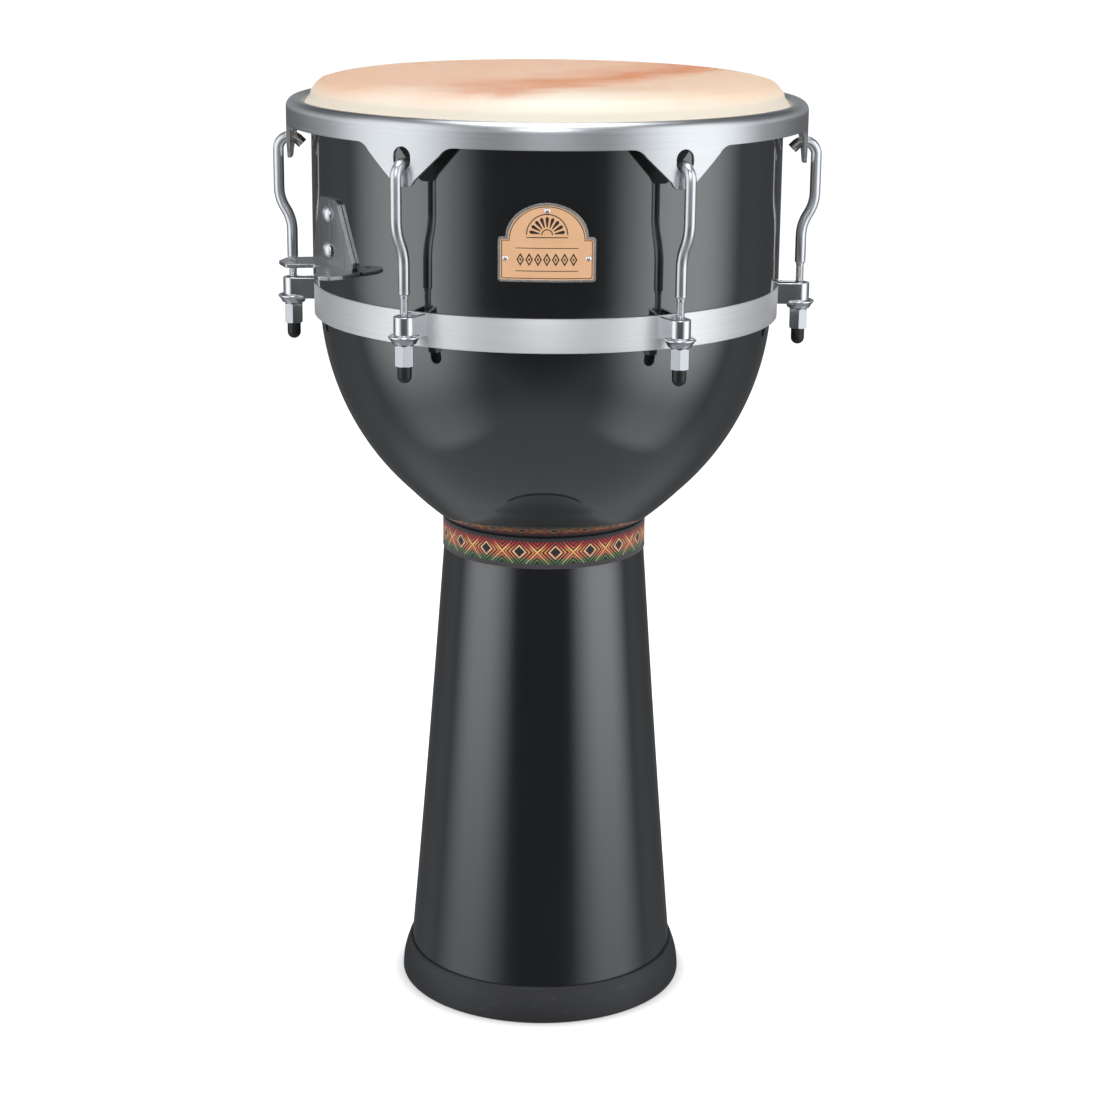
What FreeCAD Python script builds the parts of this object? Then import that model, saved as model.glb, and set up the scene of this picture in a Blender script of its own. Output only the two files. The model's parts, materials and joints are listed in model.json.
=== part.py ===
import FreeCAD, Part
import math
import os

# A tunable djembe with a goblet shell. Millimetres, +Z up.
# The origin is on the drum's axis, on the surface that the foot stands on.
# The badge faces the front, -Y. An angle is counted from the front about +Z.

V = FreeCAD.Vector
ORIGIN = V(0, 0, 0)
UP = V(0, 0, 1)

# ---- shell ---------------------------------------------------------------
SHELL_R = 178.4        # outer radius of the straight side
WALL = 6.0             # fibreglass wall
FOOT_R = 105.7         # outer radius of the stem where the foot begins
NECK_R = 79.0          # outer radius of the neck
STEM_BOTTOM = 5.0      # the stem's lower rim, inside the foot
STEM_FLARE = 1.8       # how much the stem widens inside the foot
NECK_Z = 375.0         # joint between the stem and the bowl
BOWL_H = 174.0         # from the neck joint to the band's lower edge
NECK_STRAIGHT = 13.0   # upright part of the bowl above the joint
# Points on the bowl's outer line, as shares of its flare and of its rise.
HOLLOW = (0.155, 0.0735)
KNEE = (0.307, 0.158)
BELLY = (0.772, 0.5165)
# The stem's middle, as shares of the way from the neck to the foot and from the foot to the neck.
STEM_MIDDLE = (0.375, 0.603)
SIDE_H = 153.2         # from the band's upper edge to the bearing edge
LIP_IN = 28.4          # how far the rolled bearing edge reaches inwards
BEARING_H = 24.0       # height of the bearing edge's round

# ---- foot, ribbon, sleeve -------------------------------------------------
FOOT_H = 28.8          # height of the rubber foot
FOOT_LIP = 7.5         # how far the foot stands out of the stem at the floor
FOOT_WALL = 2.6        # the rubber inside the stem
FOOT_GRIP = 13.0       # how far the rubber reaches up inside the stem
RIBBON_W = 24.1        # width of the woven ribbon
RIBBON_T = 0.8         # its thickness
RIBBON_UP = 0.3        # its middle above the joint
SLEEVE_T = 3.4         # wall of the sleeve bonded inside the neck
SLEEVE_DOWN = 23.0     # how far the sleeve reaches into the stem
SLEEVE_UP = 12.0       # how far it reaches into the bowl
BOND = 0.1             # adhesive between bonded faces

# ---- head and crown hoop ---------------------------------------------------
SKIN_T = 1.4           # goatskin
FLESH_WIRE_R = 3.5     # steel ring that the skin is lapped round
FLESH_FREE = 0.5       # lap clear of the hoop's skirt
FLESH_DROP = 1.5       # and of its rolled edge
HOOP_OUT = 18.6        # the hoop's outer face from the shell's side
HOOP_T = 3.0           # its sheet thickness
HOOP_H = 18.8          # height of the hoop without its ears
HOOP_RISE = 16.4       # how far the hoop's ridge stands below the head's top
HOOP_LIP = 11.8        # how far the rolled top reaches inwards
EAR_W = 68.0           # width of an ear at the hoop's edge
EAR_TIP_W = 21.0       # width of its tip
EAR_H = 28.5           # how far it reaches below the hoop's edge
EAR_TIP_H = 4.5        # height of the tip's rounding
EAR_EASE = 7.0         # eased start of an ear along the hoop's edge
EAR_HOLE_W = 14.0      # hole for the hook
EAR_HOLE_H = 16.4
EAR_HOLE_DROP = 9.0    # hole centre below the hoop's edge
ROLL_H = 7.0           # height of the hoop's rolled edge
RIDGE_IN = 6.0         # how far the ridge stands inside the hoop's outer face
EAR_ANGLES = (-150, -90, -30, 30, 90, 150)

# ---- tension hooks, nuts and washers ---------------------------------------
ROD_D = 8.2            # plain rod of the hook
THREAD_D = 6.35        # threaded shank
SHANK_OUT = 16.6       # the shank's axis from the shell's side
HOOK_OFF = 5.4         # the rod's inner side beside the ear, outwards of the shank's axis
HOOK_INSIDE = 5.2      # inner radius of the hook's bend
HOOK_TAIL = 3.8        # straight end of the hook behind the ear
OFFSET_H = 33.0        # height of the rod's double bend
OFFSET_DROP = 29.0     # from the hook's bend to the double bend
ROD_DROP = 83.3        # from the hook's bend to the rod's shoulder
THREAD_L = 57.0        # length of the threaded shank
SEAT_GAP = 0.35        # between the hook and the ear's hole
NUT_AF = 12.8          # hexagon across flats
NUT_L = 16.0
NUT_FIT = 0.05         # radial clearance of the thread
NUT_SPIGOT_R = 4.2     # spigot that the rubber cap is pressed on
NUT_SPIGOT_L = 3.0
CAP_D = 10.3           # rubber cap on the nut's end
CAP_L = 12.4
CAP_DEPTH = 8.2        # depth of the cap's bore
CUP_R = 11.65          # rim radius of the cup washer
CUP_BASE_R = 8.4
CUP_H = 6.1
CUP_SEAT = 3.6         # height of the cup's seat above its base
CUP_WALL = 1.1
FREE_GAP = 0.35        # radial gap where parts only pass one another

# ---- band and lug brackets --------------------------------------------------
BAND_W = 24.8
BAND_T = 2.8
BAND_SET_IN = 0.5      # band's outer face inside the shell's side
BAND_SEAT = 1.9        # the step that the band pulls against
LUG_H = 16.2           # height of a bracket
LUG_W = 15.5           # outer width of its U
LUG_T = 2.8
LUG_TOP = 0.6          # bracket's top below the band's top edge

# ---- bracket for a strap -----------------------------------------------------
STRAP_ANGLE = -61.0    # between the side lug and the front left lug
PLATE_T = 3.0
PLATE_TOP_W = 30.0
PLATE_BOTTOM_W = 80.0
PLATE_H = 49.0
PLATE_CORNER = 6.0
PLATE_ABOVE_BAND = 22.2  # plate's lower edge above the band's top edge
PLATE_GAP = 0.2
BOLT_D = 6.0
BOLT_HEAD_R = 6.3
BOLT_HEAD_H = 3.4
BOLT_HEIGHTS = (11.0, 37.4)  # above the plate's lower edge
SLOT_L = 20.0
SLOT_W = 8.5
BOLT_FIT = 0.2
WASHER_R = 8.0
WASHER_T = 1.5
WASHER_GAP = 0.2       # flat washer off the round wall
BOLT_NUT_AF = 10.0
BOLT_NUT_L = 5.0
BOLT_END = 2.5
PRONG_HOLE_R = 3.0
# Half outlines of the flange's two prongs: along the shell, and out from its wall.
PRONG_RIGHT = ((41.0, -6.4), (47.5, 12.6), (49.0, 23.6), (43.0, 29.6), (34.0, 29.1), (2.0, 10.1))
PRONG_LEFT = ((-10.0, 10.1), (-14.0, 21.1), (-18.5, 29.6), (-37.0, 27.1), (-49.5, 15.1), (-42.0, -7.4))
PRONG_HOLES = ((31.0, 18.6), (-32.0, 17.6))
PRONG_ROUND = 3.0

# ---- badge --------------------------------------------------------------------
BADGE_ANGLE = 1.0
BADGE_W = 68.6
BADGE_H = 31.4         # straight part
BADGE_ARCH_W = 58.0
BADGE_ARCH_H = 23.7
BADGE_ABOVE_BAND = 26.5
BADGE_T = 1.2
BADGE_CORNER = 2.0
BADGE_GAP = 0.05       # adhesive behind the badge
BADGE_RIM_W = 2.2
BADGE_RIM_T = 0.6
PIN_R = 1.3
PIN_HEAD_R = 2.3
PIN_HEAD_H = 1.3
PIN_FIT = 0.1
PIN_SIDE = 29.2        # side pins from the badge's middle, along the shell
PIN_SIDE_UP = 16.4     # above the badge's lower edge
PIN_TOP_DOWN = 5.2     # below the arch's top

# ---- levels and radii that follow ----------------------------------------------
BAND_Z = NECK_Z + BOWL_H
BAND_TOP = BAND_Z + BAND_W
EDGE_Z = BAND_TOP + SIDE_H
HEAD_Z = EDGE_Z + SKIN_T
RIBBON_Z = NECK_Z - RIBBON_W / 2 + RIBBON_UP
BAND_INNER_R = SHELL_R - BAND_SET_IN - BAND_T
BAND_OUTER_R = BAND_INNER_R + BAND_T
BOWL_TOP_R = BAND_INNER_R - BAND_SEAT
SIDE_INNER_R = SHELL_R - WALL
LIP_R = SHELL_R - LIP_IN
HOOP_R = SHELL_R + HOOP_OUT
SHANK_R = SHELL_R + SHANK_OUT
HOOK_R = SHANK_R + HOOK_OFF + ROD_D / 2
HOOK_BEND = HOOK_INSIDE + ROD_D / 2
HOOP_TOP = HEAD_Z - HOOP_RISE
HOOP_Z = HOOP_TOP - HOOP_H
EAR_HOLE_Z = HOOP_Z - EAR_HOLE_DROP
# The rod's lower side rests on the hole's lower edge.
HOOK_TOP = EAR_HOLE_Z - EAR_HOLE_H / 2 + SEAT_GAP + ROD_D / 2
BEND_Z = HOOK_TOP - HOOK_BEND
SHOULDER_Z = BEND_Z - ROD_DROP
LUG_Z = BAND_TOP - LUG_TOP - LUG_H
CUP_Z = LUG_Z - CUP_SEAT
NUT_Z = CUP_Z - NUT_L
CAP_Z = NUT_Z - CAP_L
PLATE_Z = BAND_TOP + PLATE_ABOVE_BAND
PLATE_R = SHELL_R + PLATE_GAP
BADGE_Z = BAND_TOP + BADGE_ABOVE_BAND
BADGE_BACK_R = SHELL_R + BADGE_GAP
FLESH_R = HOOP_R - HOOP_T - SKIN_T - FLESH_WIRE_R - FLESH_FREE
FLESH_Z = HOOP_TOP - HOOP_T - SKIN_T - FLESH_WIRE_R - FLESH_DROP


def edges(start, *legs):
    """Edges in the XZ plane. A leg is an end point, or a middle and an end for an arc."""
    found = []
    here = V(start[0], 0, start[1])
    for leg in legs:
        if isinstance(leg[0], tuple):
            middle = V(leg[0][0], 0, leg[0][1])
            there = V(leg[1][0], 0, leg[1][1])
            found.append(Part.Arc(here, middle, there).toShape())
        else:
            there = V(leg[0], 0, leg[1])
            found.append(Part.LineSegment(here, there).toShape())
        here = there
    return found


def outline(start, *legs):
    """Face in the XZ plane. A last leg that ends short of the start is closed by a line."""
    last = legs[-1][-1] if isinstance(legs[-1][0], tuple) else legs[-1]
    closing = () if last == start else (start,)
    return Part.Face(Part.Wire(edges(start, *legs, *closing)))


def turned(face):
    """Solid of revolution of a face about the drum's axis."""
    return face.revolve(ORIGIN, UP, 360)


def tube(inner, outer, low, high):
    """Plain ring between two radii and two heights."""
    ring = Part.makeCylinder(outer, high - low, V(0, 0, low))
    return ring.cut(Part.makeCylinder(inner, high - low, V(0, 0, low)))


def at_angle(shape, angle):
    """A shape made at the front, carried round the drum."""
    placed = shape.copy()
    placed.rotate(ORIGIN, UP, angle)
    return placed


def drill(radius, x, z, deep):
    """Radial cutter at the front, from the given radius outwards."""
    return Part.makeCylinder(radius, SHELL_R, V(x, -deep, z), V(0, -1, 0))


def curved_plate(face, inner, outer, low, high):
    """Sheet that hugs the round wall at the front, with a flat outline."""
    prism = face.extrude(V(0, -2 * outer, 0))
    return tube(inner, outer, low, high).common(prism)


def solid(shape):
    """The single solid of a finished shape."""
    shape = shape.removeSplitter()
    return shape.Solids[0] if len(shape.Solids) == 1 else shape


def dome(radius, foot, height):
    """Arc of a round head, as a leg: from its rim at the foot up, or down, to the axis."""
    sphere = (radius * radius + height * height) / (2 * abs(height))
    half = math.atan2(radius, sphere - abs(height)) / 2
    side = math.copysign(1, height)
    centre = foot + height - side * sphere
    return ((sphere * math.sin(half), centre + side * sphere * math.cos(half)), (0, foot + height))


def rounded_polygon(points, radius):
    """Face in the XZ plane whose corners are all rounded alike."""
    count = len(points)
    legs = []
    for i in range(count):
        corner = V(points[i][0], 0, points[i][1])
        before = V(points[i - 1][0], 0, points[i - 1][1]) - corner
        after = V(points[(i + 1) % count][0], 0, points[(i + 1) % count][1]) - corner
        half = before.getAngle(after) / 2
        reach = min(radius / math.tan(half), 0.45 * before.Length, 0.45 * after.Length)
        before.normalize()
        after.normalize()
        bisector = before + after
        bisector.normalize()
        start = corner + before * reach
        end = corner + after * reach
        used = reach * math.tan(half)
        middle = corner + bisector * (used / math.sin(half) - used)
        legs.append(((start.x, start.z), (middle.x, middle.z), (end.x, end.z)))
    path = []
    for start, middle, end in legs:
        path.append(start)
        path.append((middle, end))
    return outline(path[0], *path[1:])


# ---- shell ------------------------------------------------------------------

def bowl_point(shares, inwards=0.0, upwards=0.0):
    """A point on the bowl's outer line, or moved off it by parts of the wall."""
    low = NECK_Z + NECK_STRAIGHT
    r = NECK_R + shares[0] * (BOWL_TOP_R - NECK_R)
    return (r - inwards * WALL, low + shares[1] * (BAND_Z - low) + upwards * WALL)


def bowl_outer():
    """Outer line of the bowl, from the neck joint up to the bearing edge's lip."""
    return edges(
        (NECK_R, NECK_Z),
        (NECK_R, NECK_Z + NECK_STRAIGHT),
        (bowl_point(HOLLOW), bowl_point(KNEE)),
        (bowl_point(BELLY), (BOWL_TOP_R, BAND_Z)),
        (BAND_INNER_R, BAND_Z),
        (BAND_INNER_R, BAND_TOP),
        (SHELL_R, BAND_TOP),
        (SHELL_R, EDGE_Z - 0.8 * BEARING_H),
        ((SHELL_R - 2.2, EDGE_Z - 0.42 * BEARING_H), (SHELL_R - 7.9, EDGE_Z - 0.167 * BEARING_H)),
        ((SHELL_R - 17.4, EDGE_Z - 0.058 * BEARING_H), (LIP_R, EDGE_Z)),
    )


def bowl_inner():
    """Inner line of the bowl, one wall inside the outer line, from the lip to the neck."""
    return edges(
        (LIP_R, EDGE_Z),
        ((LIP_R - WALL / 3, EDGE_Z - WALL / 2), (LIP_R, EDGE_Z - WALL)),
        ((SIDE_INNER_R - 12.5, EDGE_Z - WALL - 3.2), (SIDE_INNER_R, EDGE_Z - 0.8 * BEARING_H - 2.0)),
        (SIDE_INNER_R, BAND_TOP),
        (BOWL_TOP_R - WALL, BAND_Z),
        (bowl_point(BELLY, 0.87, 0.5), bowl_point(KNEE, 0.68, 0.73)),
        (bowl_point(HOLLOW, 0.66, 0.72), (NECK_R - WALL, NECK_Z + NECK_STRAIGHT + 2.0)),
        (NECK_R - WALL, NECK_Z),
        (NECK_R, NECK_Z),
    )


def bolt_holes():
    """Cutters for the strap bracket's bolts."""
    cutters = []
    for height in BOLT_HEIGHTS:
        hole = drill(BOLT_D / 2 + BOLT_FIT, 0, PLATE_Z + height, SIDE_INNER_R - 2 * WALL)
        cutters.append(at_angle(hole, STRAP_ANGLE))
    return cutters


def pin_places():
    """Places of the badge's pins: angle from the front, and height."""
    top = BADGE_Z + BADGE_H + BADGE_ARCH_H - PIN_TOP_DOWN
    side = BADGE_Z + PIN_SIDE_UP
    turn = math.degrees(PIN_SIDE / SHELL_R)
    return ((BADGE_ANGLE, top), (BADGE_ANGLE - turn, side), (BADGE_ANGLE + turn, side))


def pin_holes():
    """Cutters for the badge's pins."""
    cutters = []
    for angle, z in pin_places():
        hole = drill(PIN_R + PIN_FIT, 0, z, SIDE_INNER_R - WALL)
        cutters.append(at_angle(hole, angle))
    return cutters


def bowl_shell():
    """Bowl and straight side in one moulding, with a step that the band pulls against."""
    body = turned(Part.Face(Part.Wire(bowl_outer() + bowl_inner())))
    return body.cut(Part.makeCompound(bolt_holes() + pin_holes()))


def stem_shell():
    """Hollow stem that widens towards the foot."""
    collar = NECK_Z - RIBBON_W / 2 - 1.0
    middle_r = NECK_R + STEM_MIDDLE[0] * (FOOT_R - NECK_R)
    middle_z = FOOT_H + STEM_MIDDLE[1] * (collar - FOOT_H)
    rim_r = FOOT_R + STEM_FLARE
    return turned(outline(
        (rim_r, STEM_BOTTOM),
        (FOOT_R, FOOT_H),
        ((middle_r, middle_z), (NECK_R, collar)),
        (NECK_R, NECK_Z),
        (NECK_R - WALL, NECK_Z),
        (NECK_R - WALL, collar),
        ((middle_r - WALL, middle_z), (FOOT_R - WALL, FOOT_H)),
        (rim_r - WALL, STEM_BOTTOM),
    ))


def neck_sleeve():
    """Sleeve bonded inside the neck, across the joint of the bowl and the stem."""
    outer = NECK_R - WALL - BOND
    return tube(outer - SLEEVE_T, outer, NECK_Z - SLEEVE_DOWN, NECK_Z + SLEEVE_UP)


def neck_ribbon():
    """Woven ribbon glued round the neck, over the joint."""
    return tube(NECK_R, NECK_R + RIBBON_T, RIBBON_Z, RIBBON_Z + RIBBON_W)


def rubber_foot():
    """Rubber ring that wraps the stem's lower rim."""
    rim_r = FOOT_R + STEM_FLARE
    outer = FOOT_R + FOOT_LIP
    inner = rim_r - WALL - FOOT_WALL
    # The rubber inside follows the stem's lean.
    lean = STEM_FLARE * FOOT_GRIP / (FOOT_H - STEM_BOTTOM)
    return turned(outline(
        (inner, 0),
        (outer - 2.5, 0),
        ((outer - 0.7, 0.8), (outer, 2.8)),
        ((outer - 0.9, 0.45 * FOOT_H), (FOOT_R + 2.6, FOOT_H - 2.0)),
        ((FOOT_R + 1.7, FOOT_H - 0.4), (FOOT_R, FOOT_H)),
        (rim_r, STEM_BOTTOM),
        (rim_r - WALL, STEM_BOTTOM),
        (rim_r - WALL - lean, STEM_BOTTOM + FOOT_GRIP),
        (inner, STEM_BOTTOM + FOOT_GRIP - 1.5),
    ))


# ---- head -------------------------------------------------------------------

def head_skin():
    """Stretched skin: flat top, shoulder over the bearing edge, and a lap round the ring."""
    lap_r = FLESH_WIRE_R + SKIN_T
    foot = (FLESH_R - lap_r + 0.1, FLESH_Z)
    cover = turned(outline(
        (0, EDGE_Z),
        (LIP_R, EDGE_Z),
        ((SHELL_R - 17.4, EDGE_Z - 0.058 * BEARING_H), (SHELL_R - 7.9, EDGE_Z - 0.167 * BEARING_H)),
        ((SHELL_R - 3.7, EDGE_Z - 0.31 * BEARING_H), (SHELL_R - 1.3, EDGE_Z - 0.46 * BEARING_H)),
        foot,
        (foot[0] + SKIN_T, FLESH_Z + 1.0),
        (SHELL_R, EDGE_Z - 0.46 * BEARING_H + 0.4),
        ((SHELL_R - 2.8, EDGE_Z - 0.27 * BEARING_H), (SHELL_R - 7.1, HEAD_Z - 0.16 * BEARING_H)),
        ((SHELL_R - 17.1, HEAD_Z - 0.054 * BEARING_H), (LIP_R, HEAD_Z)),
        (0, HEAD_Z),
    ))
    lap = Part.makeTorus(FLESH_R, lap_r, V(0, 0, FLESH_Z))
    hollow = Part.makeTorus(FLESH_R, FLESH_WIRE_R, V(0, 0, FLESH_Z))
    return cover.fuse(lap).cut(hollow)


def flesh_hoop():
    """Steel ring inside the skin's lap."""
    return Part.makeTorus(FLESH_R, FLESH_WIRE_R, V(0, 0, FLESH_Z))


def ear_outline():
    """Flat outline of one ear, with an eased start at the hoop's edge."""
    half = EAR_W / 2
    tip = EAR_TIP_W / 2
    low = HOOP_Z - EAR_H
    top = HOOP_Z + 2.0
    shoulder = low + EAR_TIP_H
    return outline(
        (-half - EAR_EASE, top),
        (-half - EAR_EASE, HOOP_Z),
        ((-half - 0.8, HOOP_Z - 1.4), (-half + 4.0, HOOP_Z - 5.6)),
        (-tip + 0.6, shoulder),
        ((-tip * 0.72, low + 1.2), (-tip * 0.4, low)),
        (tip * 0.4, low),
        ((tip * 0.72, low + 1.2), (tip - 0.6, shoulder)),
        (half - 4.0, HOOP_Z - 5.6),
        ((half + 0.8, HOOP_Z - 1.4), (half + EAR_EASE, HOOP_Z)),
        (half + EAR_EASE, top),
    )


def ear_hole():
    """Oval hole for the hook: a slot with round ends."""
    half = EAR_HOLE_W / 2
    straight = EAR_HOLE_H / 2 - half
    low = EAR_HOLE_Z - straight
    high = EAR_HOLE_Z + straight
    return outline(
        (-half, low),
        ((0, low - half), (half, low)),
        (half, high),
        ((0, high + half), (-half, high)),
    )


def crown_hoop():
    """Rolled steel hoop with six pierced ears."""
    inner = HOOP_R - HOOP_T
    ridge_r = HOOP_R - RIDGE_IN
    lip_r = HOOP_R - HOOP_LIP
    turn_z = HOOP_TOP - ROLL_H
    low = HOOP_Z - EAR_H
    skirt = turned(outline(
        (HOOP_R, low),
        (HOOP_R, turn_z),
        ((HOOP_R - 1.8, HOOP_TOP - 2.1), (ridge_r, HOOP_TOP)),
        ((ridge_r - 3.0, HOOP_TOP - 0.4), (lip_r, HOOP_TOP - 2.1)),
        ((lip_r - 0.9, HOOP_TOP - 3.8), (lip_r + 0.9, HOOP_TOP - 4.9)),
        ((ridge_r - 2.2, HOOP_TOP - HOOP_T - 0.3), (ridge_r, HOOP_TOP - HOOP_T)),
        ((inner - 0.9, HOOP_TOP - HOOP_T - 1.1), (inner, turn_z)),
        (inner, low),
    ))
    # The ears are what is left of a deep skirt below the hoop's edge.
    kept = Part.makeCylinder(HOOP_R + 5, HOOP_H + 5, V(0, 0, HOOP_Z))
    ear = ear_outline().extrude(V(0, -2 * HOOP_R, 0))
    hole = ear_hole().extrude(V(0, -2 * HOOP_R, 0))
    ears = [at_angle(ear, angle) for angle in EAR_ANGLES]
    holes = [at_angle(hole, angle) for angle in EAR_ANGLES]
    return skirt.common(kept.multiFuse(ears)).cut(Part.makeCompound(holes))


# ---- tension hooks ----------------------------------------------------------

def tension_hook():
    """Hook at the front: tail, bend over the ear, offset rod, threaded shank."""
    rod = ROD_D / 2
    top = V(0, -(HOOK_R - HOOK_BEND), BEND_Z)
    slope = math.radians(45)
    tail_start = top + V(0, HOOK_BEND * math.cos(slope), HOOK_BEND * math.sin(slope))
    tail_end = tail_start + V(0, math.sin(slope), -math.cos(slope)) * HOOK_TAIL
    crest = top + V(0, 0, HOOK_BEND)
    outside = V(0, -HOOK_R, BEND_Z)
    double_top = V(0, -HOOK_R, BEND_Z - OFFSET_DROP)
    double_end = V(0, -SHANK_R, BEND_Z - OFFSET_DROP - OFFSET_H)
    centre = (double_top + double_end) * 0.5
    lean = 2 * math.atan((HOOK_R - SHANK_R) / OFFSET_H)
    sweep_r = OFFSET_H / (2 * math.sin(lean))
    ease = sweep_r * (1 - math.cos(lean / 2))
    drop = sweep_r * math.sin(lean / 2)
    upper_mid = double_top + V(0, ease, -drop)
    lower_mid = double_end + V(0, -ease, drop)
    path = Part.Wire([
        Part.LineSegment(tail_end, tail_start).toShape(),
        Part.Arc(tail_start, crest, outside).toShape(),
        Part.LineSegment(outside, double_top).toShape(),
        Part.Arc(double_top, upper_mid, centre).toShape(),
        Part.Arc(centre, lower_mid, double_end).toShape(),
        Part.LineSegment(double_end, V(0, -SHANK_R, SHOULDER_Z + 1.0)).toShape(),
    ])
    along = tail_start - tail_end
    ring = Part.Wire(Part.makeCircle(rod, tail_end, along))
    bar = path.makePipeShell([ring], True, True)
    axis = V(0, -SHANK_R, 0)
    taper = Part.makeCone(THREAD_D / 2, rod, 1.0, axis + V(0, 0, SHOULDER_Z))
    shank = Part.makeCylinder(THREAD_D / 2, THREAD_L, axis + V(0, 0, SHOULDER_Z - THREAD_L))
    return solid(bar.fuse([taper, shank]))


def hexagon(flats, low, length):
    """Hexagonal prism on the drum's axis with one flat to the front."""
    corner = flats / math.sqrt(3)
    points = []
    for i in range(7):
        turn = math.radians(60 * i)
        points.append(V(corner * math.cos(turn), corner * math.sin(turn), low))
    return Part.Face(Part.makePolygon(points)).extrude(V(0, 0, length))


def chamfered_hexagon(flats, low, length):
    """Hexagonal prism whose corners are turned off at both ends."""
    corner = flats / math.sqrt(3)
    cut = corner - flats / 2
    barrel = turned(outline(
        (0, low),
        (flats / 2, low),
        (corner, low + 0.6 * cut),
        (corner, low + length - 0.6 * cut),
        (flats / 2, low + length),
        (0, low + length),
    ))
    return hexagon(flats, low, length).common(barrel)


def to_shank(shape):
    """From the drum's axis to the shank's axis at the front."""
    shape.translate(V(0, -SHANK_R, 0))
    return shape


def tension_nut():
    """Long hexagon nut with a spigot for its cap."""
    body = chamfered_hexagon(NUT_AF, NUT_Z, NUT_L)
    low = V(0, 0, NUT_Z - NUT_SPIGOT_L)
    spigot = Part.makeCylinder(NUT_SPIGOT_R, NUT_SPIGOT_L, low)
    bore = Part.makeCylinder(THREAD_D / 2 + NUT_FIT, NUT_L + 2 * NUT_SPIGOT_L, low)
    return to_shank(body.fuse(spigot).cut(bore))


def nut_cap():
    """Rubber cap over the thread's end, with a round nose."""
    outer = CAP_D / 2
    bore = THREAD_D / 2 + FREE_GAP
    return to_shank(turned(outline(
        (0, NUT_Z - CAP_DEPTH),
        (bore, NUT_Z - CAP_DEPTH),
        (bore, NUT_Z - NUT_SPIGOT_L),
        (NUT_SPIGOT_R, NUT_Z - NUT_SPIGOT_L),
        (NUT_SPIGOT_R, NUT_Z),
        (outer, NUT_Z),
        (outer, CAP_Z + outer),
        dome(outer, CAP_Z + outer, -outer),
    )))


def strap_footprint(width, outer_r, low, height):
    """U-shaped bar seen from above: straight to the band, round about the shank."""
    half = width / 2
    straight = Part.makeBox(width, SHANK_R - outer_r, height, V(-half, -SHANK_R, low))
    return straight.fuse(Part.makeCylinder(half, height, V(0, -SHANK_R, low)))


def cup_washer():
    """Saucer under a bracket. Its rim is notched, so the bracket's legs keep it from turning."""
    hole = THREAD_D / 2 + FREE_GAP
    seat = CUP_Z + CUP_SEAT
    rim = CUP_Z + CUP_H
    seat_r = LUG_W / 2 + FREE_GAP
    cup = to_shank(turned(outline(
        (hole, CUP_Z),
        (CUP_BASE_R, CUP_Z),
        ((CUP_BASE_R + 1.9, CUP_Z + 0.42 * CUP_H), (CUP_R, rim - 0.6)),
        ((CUP_R - 0.15, rim - 0.1), (CUP_R - CUP_WALL, rim)),
        (seat_r, seat),
        (hole, seat),
    )))
    notch = strap_footprint(LUG_W + 2 * FREE_GAP, BAND_OUTER_R - CUP_R, seat, CUP_H)
    return cup.cut(notch)


def lug_bracket():
    """Steel strap bent to a U and welded to the band."""
    outer = strap_footprint(LUG_W, BAND_INNER_R, LUG_Z, LUG_H)
    inner = strap_footprint(LUG_W - 2 * LUG_T, BAND_INNER_R - 10, LUG_Z, LUG_H)
    band = Part.makeCylinder(BAND_OUTER_R, LUG_H, V(0, 0, LUG_Z))
    return outer.cut(inner).cut(band)


def side_band():
    """Steel band round the shell's step."""
    return turned(outline(
        (BAND_INNER_R, BAND_Z),
        (BAND_OUTER_R - 0.5, BAND_Z),
        (BAND_OUTER_R, BAND_Z + 0.5),
        (BAND_OUTER_R, BAND_TOP - 0.5),
        (BAND_OUTER_R - 0.5, BAND_TOP),
        (BAND_INNER_R, BAND_TOP),
    ))


# ---- strap bracket ------------------------------------------------------------

def strap_bracket():
    """Plate that hugs the shell, bent out to a flange with two pierced prongs."""
    top = PLATE_Z + PLATE_H
    flare = rounded_polygon((
        (-PLATE_BOTTOM_W / 2, PLATE_Z - PLATE_T),
        (PLATE_BOTTOM_W / 2, PLATE_Z - PLATE_T),
        (PLATE_TOP_W / 2, top),
        (-PLATE_TOP_W / 2, top),
    ), PLATE_CORNER)
    plate = curved_plate(flare, PLATE_R, PLATE_R + PLATE_T, PLATE_Z - PLATE_T, top)
    points = []
    for x, out in PRONG_RIGHT + PRONG_LEFT:
        points.append((x, SHELL_R + out))
    flat = rounded_polygon(points, PRONG_ROUND)
    flange = flat.extrude(V(0, PLATE_T, 0))
    flange.rotate(ORIGIN, V(1, 0, 0), 90)
    flange.translate(V(0, 0, PLATE_Z - flange.BoundBox.ZMax))
    flange = flange.cut(Part.makeCylinder(PLATE_R, 4 * PLATE_T, V(0, 0, PLATE_Z - 2 * PLATE_T)))
    bracket = plate.fuse(flange)
    cutters = [drill(BOLT_D / 2 + BOLT_FIT, 0, PLATE_Z + BOLT_HEIGHTS[1], SHELL_R - WALL)]
    ends = (SLOT_L - SLOT_W) / 2
    low = PLATE_Z + BOLT_HEIGHTS[0]
    cutters.append(outline(
        (-ends, low - SLOT_W / 2),
        (ends, low - SLOT_W / 2),
        ((ends + SLOT_W / 2, low), (ends, low + SLOT_W / 2)),
        (-ends, low + SLOT_W / 2),
        ((-ends - SLOT_W / 2, low), (-ends, low - SLOT_W / 2)),
    ).extrude(V(0, -2 * PLATE_R, 0)))
    for x, out in PRONG_HOLES:
        place = V(x, -SHELL_R - out, PLATE_Z - 2 * PLATE_T)
        cutters.append(Part.makeCylinder(PRONG_HOLE_R, 4 * PLATE_T, place))
    return at_angle(solid(bracket.cut(Part.makeCompound(cutters))), STRAP_ANGLE)


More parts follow.
